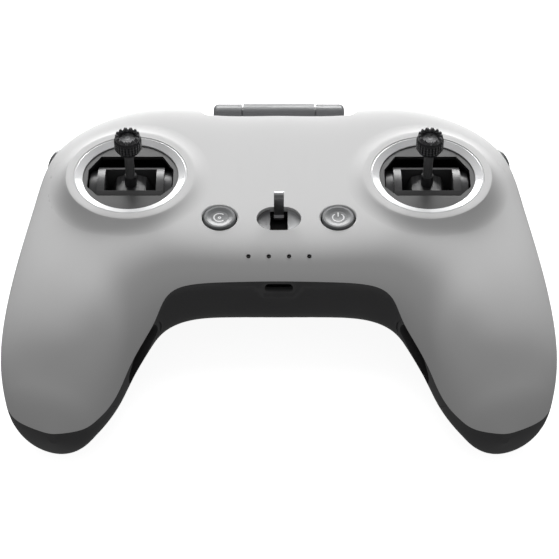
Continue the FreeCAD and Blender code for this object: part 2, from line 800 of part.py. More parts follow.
def make_bezel_ring(side, sign):
    body = new_body(f"{side}_bezel_ring_body")
    profile = new_sketch(body, "XZ_Plane", f"{side}_bezel_profile")
    well, outer, top, cover = D["well_radius"], D["ring_radius"], D["ring_top"], D["cover_z"]
    draw_outline(profile, [
        (well, cover), (well, cover + 0.35), (outer - 0.5, top), (outer, top - 0.15), (outer, cover - 2.8),
        (outer - 0.9, cover - 2.8), (outer - 0.9, cover)])
    revolve(body, profile, f"{side}_bezel_turn")
    node(f"{side}_bezel_ring", at(body, D["stick_x"] * sign, D["stick_y"], 0))


def make_cover(side, sign):
    body = new_body(f"{side}_gimbal_cover_body")
    plate = new_sketch(body, "XY_Plane", f"{side}_cover_outline")
    draw_circle(plate, 0, 0, D["ring_radius"] - 0.95)
    draw_outline(plate, [(-9.5, 9.4), (9.5, 9.4), (13.1, 3.2), (13.1, -4.4), (9.6, -8.4), (-9.6, -8.4),
                         (-13.1, -4.4), (-13.1, 3.2)])
    pad(body, plate, f"{side}_cover_plate", D["cover_plate"])
    node(f"{side}_gimbal_cover", at(body, D["stick_x"] * sign, D["stick_y"], D["cover_z"] - D["cover_plate"]))


def make_housing(side, sign):
    x, y = D["stick_x"] * sign, D["stick_y"]
    half_x, half_y, floor, wall = D["housing_half_x"], D["housing_half_y"], D["housing_floor"], 1.2
    name = f"{side}_housing"
    cup = box(f"{name}_cup", half_x * 2, half_y * 2, 40.0 - floor, x, y, floor)
    flange = cylinder(f"{name}_flange", 16.4, 1.2, x, y, 38.8)
    rim_height = D["cover_z"] - D["cover_plate"] - 40.0
    rim = cylinder(f"{name}_rim", 16.4, rim_height, x, y, 40.0)
    lugs = [cylinder(f"{name}_lug_{i}", 2.2, 1.1, x + lx, y + ly, 38.0) for i, (lx, ly) in enumerate(LUGS)]
    webs = [box(f"{name}_web_{i}", 5.2, 3.0, 1.1, x + lx * 0.86, y + ly, 38.0) for i, (lx, ly) in enumerate(LUGS)]
    room = box(f"{name}_room", half_x * 2 - wall * 2, half_y * 2 - wall * 2, 40.0, x, y, floor + wall)
    throat = cylinder(f"{name}_throat", 15.9, 10.0, x, y, 40.0)
    bearing = cylinder(f"{name}_bearing", D["axle_radius"] + D["running_gap"], 60.0, x - 30.0, y, D["pivot_z"], X_AXIS)
    holes = [cylinder(f"{name}_hole_{i}", 0.95, 6.0, x + lx, y + ly, 36.0) for i, (lx, ly) in enumerate(LUGS)]
    solid = fuse(f"{name}_solid", cup, flange, rim, *lugs, *webs)
    low_room = common(f"{name}_low_room", room, box(f"{name}_low", 60, 60, 40.0 - floor - wall, x, y, floor + wall))
    node(f"{side}_gimbal_housing", cut(f"{name}_form", solid, low_room, throat, bearing, *holes))


def make_yoke(side, sign):
    x, y, z = D["stick_x"] * sign, D["stick_y"], D["pivot_z"]
    half_x, half_y, name = D["yoke_half_x"], D["yoke_half_y"], f"{side}_yoke"
    arch = cylinder(f"{name}_arch", D["yoke_radius"], half_x * 2, x - half_x, y, z, X_AXIS)
    cage = box(f"{name}_cage", half_x * 2, half_y * 2, 18.0, x, y, z - 3.5)
    drum = cylinder(f"{name}_drum", D["drum_radius"], D["drum_end"] * 2, x - D["drum_end"], y, z, X_AXIS)
    ends = box(f"{name}_ends", 60.0, 40.0, 18.0, x, y, z - 3.5)
    middle = box(f"{name}_middle", half_x * 2, 40.0, 40.0, x, y, z - 20.0)
    drums = cut(f"{name}_drums", common(f"{name}_drum_sector", drum, ends), middle)
    inner_end, outer_end = x - D["drum_end"] * sign, x + D["drum_end"] * sign
    inner = cylinder(f"{name}_inner_axle", D["axle_radius"], 2.3, inner_end, y, z, X_AXIS * -sign)
    outer = cylinder(f"{name}_outer_axle", D["axle_radius"], 8.4, outer_end, y, z, X_AXIS * sign)
    window = box(f"{name}_window", D["window_half_x"] * 2, D["window_half_y"] * 2, 40.0, x, y, z - 20.0)
    bearing = cylinder(f"{name}_bearing", 1.65, 20.0, x, y - 10.0, z, Y_AXIS)
    solid = fuse(f"{name}_solid", common(f"{name}_frame", arch, cage), drums, inner, outer)
    node(name, cut(f"{name}_form", solid, window, bearing))


def make_carrier(side, sign):
    """The saddle that swings in the yoke, with the post that the stick is screwed into."""
    x, y, z = D["stick_x"] * sign, D["stick_y"], D["pivot_z"]
    half_y, name = D["carrier_half_y"], f"{side}_carrier"
    drum = cylinder(f"{name}_drum", D["carrier_radius"], half_y * 2, x, y - half_y, z, Y_AXIS)
    flank = [(-6.6, -3.5), (6.6, -3.5), (6.6, 4.0), (4.5, 9.4), (4.5, 12.0), (-4.5, 12.0), (-4.5, 9.4), (-6.6, 4.0)]
    points = [STICKS[side] + V(dx, -10, dz) for dx, dz in flank]
    fan = feature(f"{name}_fan", Part.Face(Part.makePolygon(points + points[:1])).extrude(V(0, 20, 0)))
    post = cylinder(f"{name}_post", 1.85, 6.0, x, y, z + 8.0)
    rim = cone(f"{name}_post_rim", 1.85, 1.55, 0.3, x, y, z + 14.0)
    far = cylinder(f"{name}_far_axle", 1.6, 6.9, x, y + half_y - 0.5, z, Y_AXIS)
    near = cylinder(f"{name}_near_axle", 1.6, 2.4, x, y - half_y - 2.0, z, Y_AXIS)
    bore = cylinder(f"{name}_bore", D["shaft_radius"], 20.0, x, y, z + 4.5)
    solid = fuse(f"{name}_solid", common(f"{name}_core", drum, fan), post, rim, far, near)
    node(name, cut(f"{name}_form", solid, bore))


def make_shaft(side, sign):
    z = D["pivot_z"] + 4.5
    length = D["cap_base"] + 4.0 - z
    shaft = cylinder(f"{side}_shaft_form", D["shaft_radius"], length, D["stick_x"] * sign, D["stick_y"], z)
    node(f"{side}_stick_shaft", shaft)


def make_cap(side, sign):
    """The thumb end: tapered body with a knurled side, a socket for the shaft and a toothed crown."""
    body = new_body(f"{side}_cap_body")
    base, top, radius = D["cap_base"], D["cap_top"], D["cap_radius"]
    profile = new_sketch(body, "XZ_Plane", f"{side}_cap_profile")
    draw_outline(profile, [
        (0, base + 4.0), (D["shaft_radius"], base + 4.0), (D["shaft_radius"], base), (radius - 1.6, base),
        (radius - 0.9, base + 0.5), (radius, base + 2.0), (radius, base + 4.8), (radius - 0.4, base + 5.4),
        (radius - 0.45, top - 0.2), (radius - 0.7, top), (radius - 1.2, top), (radius - 1.8, top - 1.2),
        (0, top - 1.3)])
    revolve(body, profile, f"{side}_cap_turn")
    tooth = new_sketch(body, "XZ_Plane", f"{side}_tooth_gap")
    draw_outline(tooth, [(-0.75, top + 0.2), (0.75, top + 0.2), (0, top - 1.15)])
    gap = pocket(body, tooth, f"{side}_tooth_cut", radius + 2.0)
    polar(body, gap, f"{side}_teeth", 14)
    groove = new_sketch(body, "XY_Plane", f"{side}_knurl_gap", base + 1.2)
    draw_outline(groove, [(radius + 0.6, -0.45), (radius + 0.6, 0.45), (radius - 0.35, 0)])
    flute = pocket(body, groove, f"{side}_knurl_cut", 3.9, reverse=True)
    polar(body, flute, f"{side}_knurl", 26)
    node(f"{side}_stick_cap", at(body, D["stick_x"] * sign, D["stick_y"], 0))


def make_sensors(side, sign):
    x, y, z = D["stick_x"] * sign, D["stick_y"], D["pivot_z"]
    case = box(f"{side}_yoke_sensor_case", 4.2, 9.0, 9.0, x + 20.8 * sign, y, z - 4.5)
    arms = [box(f"{side}_yoke_sensor_arm_{i}", 4.0, 0.8, 5.0, x + 17.0 * sign, y + 4.1 * k, z - 2.5)
            for i, k in enumerate((-1, 1))]
    bore = cylinder(f"{side}_yoke_sensor_bore", 2.06, 20.0, x + 10.0 * sign, y, z, X_AXIS * sign)
    solid = fuse(f"{side}_yoke_sensor_solid", case, *arms)
    node(f"{side}_yoke_sensor", cut(f"{side}_yoke_sensor_form", solid, bore))
    case = box(f"{side}_carrier_sensor_case", 8.0, 2.2, 7.0, x, y + 9.5, z - 3.5)
    arms = [box(f"{side}_carrier_sensor_arm_{i}", 0.8, 1.6, 5.0, x + 3.6 * k, y + 7.7, z - 2.5)
            for i, k in enumerate((-1, 1))]
    bore = cylinder(f"{side}_carrier_sensor_bore", 1.66, 10.0, x, y + 5.0, z, Y_AXIS)
    solid = fuse(f"{side}_carrier_sensor_solid", case, *arms)
    node(f"{side}_carrier_sensor", cut(f"{side}_carrier_sensor_form", solid, bore))


def curved_wire(radius, points):
    """A round wire through a few points."""
    path = Part.BSplineCurve()
    path.interpolate(points)
    edge = path.toShape()
    section = Part.Wire(Part.makeCircle(radius, points[0], edge.tangentAt(edge.FirstParameter)))
    return Part.Wire(edge).makePipeShell([section], True, True)


def coil(radius, wire, pitch, turns, start, direction):
    """A wound spring as one solid."""
    turn = FreeCAD.Rotation(Z_AXIS, direction)
    points = []
    for k in range(int(turns * 12) + 1):
        angle = math.tau * k / 12
        points.append(start + turn.multVec(V(radius * math.cos(angle), radius * math.sin(angle), pitch * k / 12)))
    return curved_wire(wire, points)


def make_springs(side, sign):
    centre = STICKS[side]
    start = centre + V(sign * (N["housing_half_x"] + 0.45), 0, 0)
    node(f"{side}_yoke_spring", feature(f"{side}_yoke_spring_form", coil(2.75, 0.32, 0.8, 3.4, start, X_AXIS * sign)))
    start = centre + V(0, N["yoke_half_y"] + 0.25, 0)
    node(f"{side}_carrier_spring", feature(f"{side}_carrier_spring_form", coil(2.15, 0.18, 0.5, 1.8, start, Y_AXIS)))


def make_gimbal_screws():
    screws = []
    for side, sign in SIDES:
        for lx, ly in LUGS:
            place = STICKS[side] + V(lx, ly, 0)
            head = Part.makeCylinder(1.7, 1.1, V(place.x, place.y, 36.85))
            shank = Part.makeCylinder(0.78, 4.0, V(place.x, place.y, 37.9))
            screws.append(head.fuse(shank))
    node("gimbal_screws", feature("gimbal_screw_forms", Part.makeCompound(screws)))


for side_name, side_sign in SIDES:
    make_bezel_ring(side_name, side_sign)
    make_cover(side_name, side_sign)
    make_housing(side_name, side_sign)
    make_yoke(side_name, side_sign)
    make_carrier(side_name, side_sign)
    make_shaft(side_name, side_sign)
    make_cap(side_name, side_sign)
    make_sensors(side_name, side_sign)
    make_springs(side_name, side_sign)
make_gimbal_screws()


# ---------------------------------------------------------------- face: buttons, lamps, lanyard hook

def make_button(name, sign):
    """A round button: dished top, a flange that stops it under the face, and a stem to its switch."""
    body = new_body(f"{name}_body")
    top, radius = D["button_top"], D["button_radius"]
    profile = new_sketch(body, "XZ_Plane", f"{name}_profile")
    draw_outline(profile, [
        (0, D["board_top"] + 2.05), (1.6, D["board_top"] + 2.05), (1.6, 41.4), (radius + 1.1, 41.4),
        (radius + 1.1, 42.6), (radius, 42.6),
        (radius, top - 0.3), (radius - 0.3, top), (radius - 0.9, top), (radius - 2.2, top - 0.3), (0, top - 0.45)])
    revolve(body, profile, f"{name}_turn")
    node(name, at(body, D["button_x"] * sign, D["button_y"], 0))


def make_tact_switches():
    """The two switches on the board under the face buttons."""
    parts = []
    for name, sign in SIDES:
        x, y, z = D["button_x"] * sign, D["button_y"], D["board_top"]
        base = box(f"{name}_tact_base", 6.0, 6.0, 1.1, x, y, z)
        parts.append(fuse(f"{name}_tact", base, cylinder(f"{name}_tact_plunger", 1.5, 1.3, x, y, z)))
    node("tact_switches", compound("tact_switch_pair", *parts))


def face_height(x, y):
    """The height of the casing over a point."""
    inside = Part.makeLine(V(x, y, 30), V(x, y, 60)).common(outer_form)
    return max(vertex.Point.z for vertex in inside.Vertexes)


def make_lamps():
    bar = box("lamp_bar", D["lamp_pitch"] * 3 + 3.0, 1.8, 0.9, 0, D["lamp_y"], 39.2)
    pipes = []
    for i, k in enumerate((-1.5, -0.5, 0.5, 1.5)):
        top = face_height(k * N["lamp_pitch"], N["lamp_y"]) - 0.02
        pipes.append(cylinder(f"lamp_pipe_{i}", D["lamp_radius"], top - 39.5, D["lamp_pitch"] * k, D["lamp_y"], 39.5))
    node("charge_lamps", fuse("charge_lamp_form", bar, *pipes))


def make_recess_cup():
    half, radius = N["pill_half"], N["pill_radius"]
    floor, top = 39.6, 43.3
    solid = oval_rod(2 * half + 2.4, 2 * radius + 2.4, V(0, 0, floor), V(0, 0, top))
    solid = solid.fuse(oval_rod(2 * half - 0.3, 2 * radius - 0.3, V(0, 0, top - 0.5), V(0, 0, 45.1)))
    dish = Part.makeCylinder(30.0, 16.0, V(-8, 0, 74.6), X_AXIS)
    channel = block(-2.65, 2.65, -radius - 0.6, radius + 0.6, floor + 1.2, top + 5)
    pin = rod(0.6, V(-3.4, N["hook_pin_y"], N["hook_pin_z"]), V(3.4, N["hook_pin_y"], N["hook_pin_z"]))
    node("lanyard_recess_cup", feature("recess_cup_form", solid.cut(dish.multiFuse([channel, pin]))))
    node("lanyard_pin", cylinder("lanyard_pin_form", 0.6, 6.8, -3.4, D["hook_pin_y"], D["hook_pin_z"], X_AXIS))


def make_hook():
    """A metal strip on a pin, with a rolled end that a lanyard clips round."""
    y, z, thick, reach = D["hook_pin_y"], D["hook_pin_z"], D["hook_thick"], D["hook_reach"]
    width = D["hook_width"]
    eye = cylinder("hook_eye", 1.15, width, 0 - width / 2, y, z, X_AXIS)
    strip = box("hook_strip", width, thick, reach - 1.4, 0, y, z)
    curl = cylinder("hook_curl", 1.4, width, 0 - width / 2, y + 0.9, z + reach - 1.4, X_AXIS)
    core = cylinder("hook_curl_core", 0.5, width + 2.0, 0 - width / 2 - 1.0, y + 0.9, z + reach - 1.4, X_AXIS)
    mouth = box("hook_mouth", width + 2.0, 2.0, 1.5, 0, y + 1.9, z + reach - 2.9)
    bore = cylinder("hook_bore", 0.65, width + 2.0, 0 - width / 2 - 1.0, y, z, X_AXIS)
    node("lanyard_hook", cut("hook_form", fuse("hook_solid", eye, strip, curl), core, mouth, bore))


make_button("c1_button", LEFT)
make_button("power_button", RIGHT)
make_tact_switches()
make_lamps()
make_recess_cup()
make_hook()


# ---------------------------------------------------------------- charging socket and boards

def make_socket():
    z, width, height = N["usb_z"], N["usb_width"], N["usb_height"]
    shell = oval_rod(width, height, V(0, -19.3, z), V(0, -12.0, z))
    room = oval_rod(width - 0.6, height - 0.6, V(0, -22.0, z), V(0, -12.4, z))
    node("usb_shell", feature("usb_shell_form", shell.cut(room)))
    node("usb_tongue", box("usb_tongue_form", 6.7, 6.2, 0.7, 0, -15.5, D["usb_z"] - 0.35))


def make_board():
    half, top, thick = D["board_half_x"], D["board_top"], D["board_thick"]
    plate = box("board_plate", half * 2, 48.0, thick, 0, 5.3, top - thick)
    holes = [cylinder(f"board_hole_{i}", 1.0, 6.0, x * sign, y, top - 4.0)
             for i, (x, y, sign) in enumerate((x, y, s) for x, y in BOARD_POSTS for s in (LEFT, RIGHT))]
    node("main_board", cut("main_board_form", plate, *holes))
    low = D["board_top"] - D["board_thick"]
    chips = [box("chip_processor", 10.0, 10.0, 1.2, -2.0, 2.0, low - 1.2),
             box("chip_power", 6.0, 6.0, 1.0, 12.0, -8.0, low - 1.0),
             box("chip_memory", 7.0, 5.0, 1.0, -14.0, -9.0, low - 1.0),
             box("chip_charger", 5.0, 5.0, 1.0, 3.0, -13.0, low - 1.0)]
    node("board_chips", compound("board_chip_set", *chips))
    node("radio_shield", box("radio_shield_form", 20.0, 14.0, 2.4, 0, 17.0, top))
    buzzer = cylinder("buzzer_case", 4.6, 3.2, 13.0, 14.0, low - 3.2)
    sound = cylinder("buzzer_hole", 0.9, 2.0, 13.0, 14.0, low - 4.0)
    node("buzzer", cut("buzzer_form", buzzer, sound))
    screws = []
    for x, y in BOARD_POSTS:
        for sign in (LEFT, RIGHT):
            low = N["board_top"] - N["board_thick"]
            head = Part.makeCylinder(1.7, 1.1, V(sign * x, y, low - 1.1))
            screws.append(head.fuse(Part.makeCylinder(0.78, 5.3, V(sign * x, y, low - 0.1))))
    node("board_screws", feature("board_screw_forms", Part.makeCompound(screws)))


make_socket()
make_board()


# ---------------------------------------------------------------- battery

def make_battery():
    bars = cells(0.0)
    whole = []
    for number, bar in enumerate(bars):
        sign = RIGHT if number else LEFT
        end = V(sign * N["cell_length"] / 2, bar.CenterOfMass.y, N["cell_z"])
        whole.append(bar.fuse(rod(2.8, end, end + V(sign * 0.8, 0, 0))))
    node("battery_cells", feature("battery_cell_forms", Part.makeCompound(whole)))
    y0, y1 = 6.2, 45.8
    room = cells(0.3)
    tray = block(-35.4, 35.4, y0, y1, 12.0, 22.2).cut(block(-33.9, 33.9, y0 + 0.9, y1 - 0.9, 0, 20.9))
    node("battery_tray", feature("battery_tray_form", tray.cut(room[0].fuse(room[1]))))
    lead = curved_wire(0.8, [V(22, 40, 22.7), V(22, 40, 25.5), V(20, 33, 31), V(16, 27, 32.2), V(16, 25, 34.2)])
    node("battery_lead", feature("battery_lead_form", lead))


def make_shell_screws():
    screws = []
    for x, y in POSTS:
        low, length = (16.0, 20.0) if y > -20 else (8.0, 16.5)
        for sign in (LEFT, RIGHT):
            head = Part.makeCylinder(2.0, 1.6, V(sign * x, y, low - 1.6))
            socket = Part.makeCylinder(0.8, 0.8, V(sign * x, y, low - 1.6))
            shank = Part.makeCylinder(1.05, length, V(sign * x, y, low - 0.2))
            screws.append(head.fuse(shank).cut(socket))
    node("shell_screws", feature("shell_screw_forms", Part.makeCompound(screws)))


make_battery()
make_shell_screws()


# ---------------------------------------------------------------- antenna

def make_antenna():
    y, z = D["hinge_y"], D["hinge_z"]
    half = D["knuckle_half"] - D["knuckle_gap"] / 2
    barrel = cylinder("knuckle_barrel", D["knuckle_radius"], half * 2, 0 - half, y, z, X_AXIS)
    boss = cylinder("knuckle_boss", 4.2, D["knuckle_half"] * 2 + 0.3, -0.15 - D["knuckle_half"], y, z, X_AXIS)
    foot = box("knuckle_foot", 12.0, 6.4, 5.0, 0, 46.3, 36.0)
    flange = box("knuckle_flange", 18.0, 1.2, 7.0, 0, 43.6, 35.0)
    pin_hole = cylinder("knuckle_bore", 1.5, 60.0, -30.0, y, z, X_AXIS)
    lead_hole = cylinder("knuckle_lead_hole", 0.75, 8.0, 0, 42.0, z, Y_AXIS)
    node("antenna_mount", cut("antenna_mount_form", fuse("knuckle_solid", barrel, boss, foot, flange), pin_hole, lead_hole))
    node("antenna_pin", cylinder("antenna_pin_form", 1.5, 40.0, -20.0, y, z, X_AXIS))
    lead = curved_wire(0.6, [V(0, 24.4, 37.2), V(0, 28, 37.4), V(1.5, 33, 38.0), V(0, 39, z),
                             V(0, 43.0, z), V(0, 47.2, z)])
    node("antenna_lead", feature("antenna_lead_form", lead))


def make_paddle():
    """Two hinge ears and the flat blade that carries the antenna elements."""
    y, z = N["hinge_y"], N["hinge_z"]
    start, end = N["knuckle_half"] + N["knuckle_gap"] / 2, N["paddle_half"]
    inner, outer, low, top = 54.42, 59.12, N["paddle_low"], 30.5
    blade = block(-end, end, inner, outer, low, top)
    blade = blade.makeFillet(2.2, [e for e in blade.Edges if e.BoundBox.YMax > outer - 0.1 or e.BoundBox.YLength > 3])
    pieces = []
    for sign in (LEFT, RIGHT):
        x0, x1 = sorted((sign * start, sign * end))
        ear = rod(N["ear_radius"], V(x0, y, z), V(x1, y, z))
        pieces.append(ear.makeFillet(1.6, [e for e in ear.Edges if abs(abs(e.CenterOfMass.x) - end) < 0.1]))
        pieces.append(block(x0, x1, inner, y + N["ear_radius"], top - 3.0, z))
    solid = blade.multiFuse(pieces)
    bore = rod(1.55, V(-30, y, z), V(30, y, z))
    node("antenna_paddle", feature("antenna_paddle_form", solid.cut(bore)))


make_antenna()
make_paddle()


# ---------------------------------------------------------------- shoulder controls

def make_dial():
    x, y, z, radius, width = D["dial_x"], D["dial_y"], D["dial_z"], D["dial_radius"], D["dial_width"]
    body = new_body("dial_body")
    rim = new_sketch(body, "YZ_Plane", "dial_outline")
    draw_circle(rim, 0, 0, radius)
    pad(body, rim, "dial_disc", width, midplane=True)
    notch = new_sketch(body, "YZ_Plane", "dial_notch")
    draw_outline(notch, [(radius + 0.5, -0.45), (radius + 0.5, 0.45), (radius - 0.5, 0)])
    gap = pocket(body, notch, "dial_notch_cut", width + 2.0, midplane=True)
    polar(body, gap, "dial_notches", 32, "X_Axis")
    at(body, x, y, z)
    axle = cylinder("dial_axle", 1.2, 9.2, x - 4.6, y, z, X_AXIS)
    node("gimbal_dial", fuse("dial_form", body, axle))
    frame = box("dial_frame", 9.2, 11.2, 8.5, x, 45.4, 32.0)
    slot = box("dial_slot", 5.4, 12.0, 20.0, x, 47.2, 28.0)
    hollow = cylinder("dial_hollow", radius + 0.4, 5.4, x - 2.7, y, z, X_AXIS)
    bearing = cylinder("dial_bearing", 1.25, 20.0, x - 10.0, y, z, X_AXIS)
    node("dial_bracket", cut("dial_bracket_form", frame, slot, hollow, bearing))
    node("dial_encoder", cut("dial_encoder_form", box("dial_encoder_case", 2.6, 6.0, 6.0, x + 5.95, 47.5, 33.2),
                             cylinder("dial_encoder_bore", 1.3, 20.0, x, y, z, X_AXIS)))


def make_slider(name, place):
    """A switch knob that slides along the back edge, on a plate inside the wall."""
    plate = Part.makeBox(16.0, 7.6, 0.8, V(-8.0, -3.8, -5.2))
    knob = soft_box(4.6, 4.8, 6.4, 1.0, -4.6)
    knob = knob.makeFillet(0.6, [e for e in knob.Edges if e.BoundBox.ZMin > 1.7])
    ribs = [Part.makeBox(0.5, 6.0, 2.0, V(x - 0.25, -3.0, 1.45)) for x in (-1.2, 0.0, 1.2)]
    shape = plate.fuse(knob).cut(ribs[0].multiFuse(ribs[1:]))
    node(name, feature(f"{name}_form", seated(shape, place)))


def make_round_key(name, place):
    """A domed key with a flange behind the wall."""
    stem = Part.makeCylinder(4.15, 5.2, V(0, 0, -4.6))
    stem = stem.makeFillet(0.7, [e for e in stem.Edges if e.BoundBox.ZMin > 0.5])
    flange = Part.makeCylinder(4.9, 0.8, V(0, 0, -5.3))
    node(name, feature(f"{name}_form", seated(stem.fuse(flange), place)))


def make_switch_blocks():
    """The switches that the shoulder controls work."""
    shapes = []
    for place in (MODE_SEAT, CUSTOM_SEAT):
        shapes.append(seated(Part.makeBox(12.0, 6.4, 3.0, V(-6.0, -3.2, -8.4)), place))
    for place in (PAUSE_SEAT, START_SEAT):
        shapes.append(seated(Part.makeBox(6.0, 6.0, 2.4, V(-3.0, -3.0, -8.6)), place))
    node("shoulder_switches", feature("shoulder_switch_forms", Part.makeCompound(shapes)))


make_dial()
make_slider("flight_mode_switch", MODE_SEAT)
make_slider("custom_switch", CUSTOM_SEAT)
make_round_key("pause_button", PAUSE_SEAT)
make_round_key("start_button", START_SEAT)
make_switch_blocks()


# ---------------------------------------------------------------- checks and export

doc.recompute()
faults = [obj.Name for obj in doc.Objects if {"Invalid", "Error"} & set(obj.State)]
faults += [name for name, obj in nodes.items() if obj.Shape.isNull() or not obj.Shape.isValid()]
if faults:
    raise SystemExit(f"objects that did not build: {faults}")

os.makedirs("parts", exist_ok=True)
for name, obj in nodes.items():
    obj.Shape.exportStep(f"parts/{name}.step")
print(f"{len(nodes)} sub-parts exported")
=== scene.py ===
"""Looks, light and camera for the radio transmitter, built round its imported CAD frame."""

import json
import math

import bmesh
import bpy
import numpy as np
from mathutils import Matrix, Vector
from mathutils.bvhtree import BVHTree
from mathutils.kdtree import KDTree


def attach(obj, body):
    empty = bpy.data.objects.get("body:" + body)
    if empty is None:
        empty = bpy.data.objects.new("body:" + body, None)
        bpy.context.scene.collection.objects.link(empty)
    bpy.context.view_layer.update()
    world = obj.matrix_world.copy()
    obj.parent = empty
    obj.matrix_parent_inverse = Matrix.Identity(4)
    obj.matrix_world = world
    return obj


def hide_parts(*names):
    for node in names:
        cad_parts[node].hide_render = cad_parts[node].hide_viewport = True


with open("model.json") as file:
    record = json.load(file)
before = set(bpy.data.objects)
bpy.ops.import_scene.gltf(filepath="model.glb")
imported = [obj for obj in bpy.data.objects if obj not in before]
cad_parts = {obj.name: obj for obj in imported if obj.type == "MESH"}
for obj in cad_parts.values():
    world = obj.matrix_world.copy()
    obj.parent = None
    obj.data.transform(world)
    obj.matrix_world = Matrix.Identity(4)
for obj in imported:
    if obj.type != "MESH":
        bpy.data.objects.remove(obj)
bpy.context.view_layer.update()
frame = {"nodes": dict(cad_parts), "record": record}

MM = 0.001
SIDES = (("left", -1), ("right", 1))

# Places and sizes in the top shell, in millimetres as in the CAD: the stick wells, the face keys and lamps, the
# antenna's hinge and notch, the dial, the hook's recess and the wall.
STICK_X, STICK_Y = 45.5, 17.9
COLLAR_EDGE, COLLAR_REACH, COLLAR_TOP = 19.75, 25.6, 47.4
RING_HOLE = 17.45
KEY_X, KEY_Y, KEY_HOLE = 17.8, 0.3, 5.35
KEY_DISH_Z, KEY_DISH_RISE = 45.77, 0.057
LAMP_PITCH, LAMP_Y, LAMP_HOLE = 6.0, -14.3, 0.65
HINGE_Y, HINGE_Z, BARREL_ROOM = 52.8, 39.2, 5.65
NOTCH_HALF, NOTCH_Y = 23.7, 48.3
FOOT_ROOM = (-6.05, 6.05, 40, 50, 35.95, 41.05)
DIAL_ROOM, DIAL_LEFT, DIAL_RIGHT, DIAL_Y, DIAL_Z = 7.7, -40.7, -35.3, 48.9, 36.2
RECESS_OPENING = (13.4, 9.9)
WALL = 2.0

# Slide switches and round keys at the back: where each sits, by run and angle on the casing, and what is cut
# for it.
SWITCH_RUN, SWITCH_ANGLE = {"left": -0.310, "right": 0.240}, math.radians(14)
SWITCH_WINDOW, PLATE_ROOM = (13.0, 6.4, 1.5), (24.6, 8.6, 0.5)
ROUND_KEY_RUN, ROUND_KEY_ANGLE, ROUND_KEY_HOLE = 0.415, math.radians(27), 4.35


# ---------------------------------------------------------------- casing form, in millimetres as in the CAD

# Sections across the casing from its middle (run 0) to the tip of a grip (run 1), from the inner edge to the
# outer edge: run, inner x, inner y, outer x, outer y, inner mid z, outer mid z, inner top, outer top,
# inner bottom, outer bottom, and the squareness of the top and the bottom at each edge.
STATIONS = (
    (0.00, 0.0, -22.0, 0.0, 54.0, 31.0, 25.0, 46.0, 45.6, 17.8, -0.5, 2.9, 9.0, 3.0, 4.0),
    (0.12, 14.0, -22.0, 18.0, 54.0, 31.0, 25.0, 46.0, 45.6, 17.8, -0.5, 2.9, 9.0, 3.0, 4.0),
    (0.22, 25.5, -22.3, 38.0, 54.8, 30.0, 25.0, 46.0, 46.6, 17.0, -0.5, 2.8, 8.5, 3.0, 4.0),
    (0.32, 33.8, -24.4, 58.0, 49.6, 27.0, 25.0, 46.0, 45.2, 14.0, -0.5, 2.7, 7.5, 3.0, 3.5),
    (0.42, 38.3, -28.9, 71.5, 37.2, 23.0, 25.0, 45.8, 43.9, 10.0, -0.5, 2.6, 5.5, 2.8, 3.0),
    (0.52, 41.6, -34.1, 76.4, 20.5, 20.0, 24.0, 45.2, 41.8, 6.0, -0.5, 2.5, 4.0, 2.5, 2.8),
    (0.62, 44.3, -40.1, 79.9, 0.5, 18.3, 22.0, 43.8, 39.5, 3.0, -0.5, 2.5, 3.2, 2.3, 2.6),
    (0.72, 46.7, -45.8, 82.3, -18.5, 16.8, 20.0, 41.0, 36.5, 1.0, -0.5, 2.4, 2.8, 2.1, 2.5),
    (0.81, 49.6, -50.8, 82.6, -34.5, 16.0, 18.0, 36.5, 32.5, 1.0, -0.2, 2.3, 2.5, 2.1, 2.4),
    (0.89, 53.0, -55.0, 80.4, -46.2, 14.5, 15.5, 30.5, 28.0, 2.0, 1.0, 2.2, 2.3, 2.1, 2.3),
    (0.95, 57.5, -57.9, 75.8, -53.4, 13.3, 14.0, 25.0, 23.5, 3.2, 3.0, 2.1, 2.1, 2.0, 2.1),
    (1.00, 65.0, -59.2, 66.0, -59.1, 12.8, 13.0, 13.6, 13.6, 12.2, 12.2, 2.0, 2.0, 2.0, 2.0),
)

# Height of the seam between the two shells along the same run: inner side, outer side.
SEAM = (
    (0.00, 39.4, 27.0), (0.12, 39.2, 27.0), (0.22, 38.4, 27.0), (0.27, 37.3, 26.8), (0.32, 34.4, 26.5),
    (0.37, 29.6, 26.0), (0.42, 26.9, 25.5), (0.47, 25.2, 25.0), (0.52, 23.9, 24.4), (0.62, 22.0, 23.0),
    (0.72, 19.6, 20.4), (0.81, 17.8, 17.4), (0.89, 16.9, 15.0), (0.95, 16.1, 14.6), (1.00, 15.6, 15.5),
)


class Spline:
    """A natural cubic spline over the run from -1 to 1, even or odd about 0."""

    def __init__(self, rows, column, odd=False):
        rows = np.array(rows)
        runs, values = rows[:, 0], rows[:, column]
        sign = -1 if odd else 1
        self.x = np.concatenate([-runs[:0:-1], runs])
        self.y = np.concatenate([sign * values[:0:-1], values])
        count, gaps = len(self.x), np.diff(self.x)
        matrix, right = np.eye(count), np.zeros(count)
        for i in range(1, count - 1):
            matrix[i, i - 1:i + 2] = gaps[i - 1], 2 * (gaps[i - 1] + gaps[i]), gaps[i]
            right[i] = 6 * ((self.y[i + 1] - self.y[i]) / gaps[i] - (self.y[i] - self.y[i - 1]) / gaps[i - 1])
        self.bend, self.gaps = np.linalg.solve(matrix, right), gaps

    def __call__(self, run):
        i = np.clip(np.searchsorted(self.x, run) - 1, 0, len(self.x) - 2)
        gap = self.gaps[i]
        a = (self.x[i + 1] - run) / gap
        b = 1 - a
        curve = (a ** 3 - a) * self.bend[i] + (b ** 3 - b) * self.bend[i + 1]
        return a * self.y[i] + b * self.y[i + 1] + curve * gap ** 2 / 6


COLUMNS = [Spline(STATIONS, k, odd=k in (1, 3)) for k in range(1, 15)]
SEAM_INNER, SEAM_OUTER = Spline(SEAM, 1), Spline(SEAM, 2)


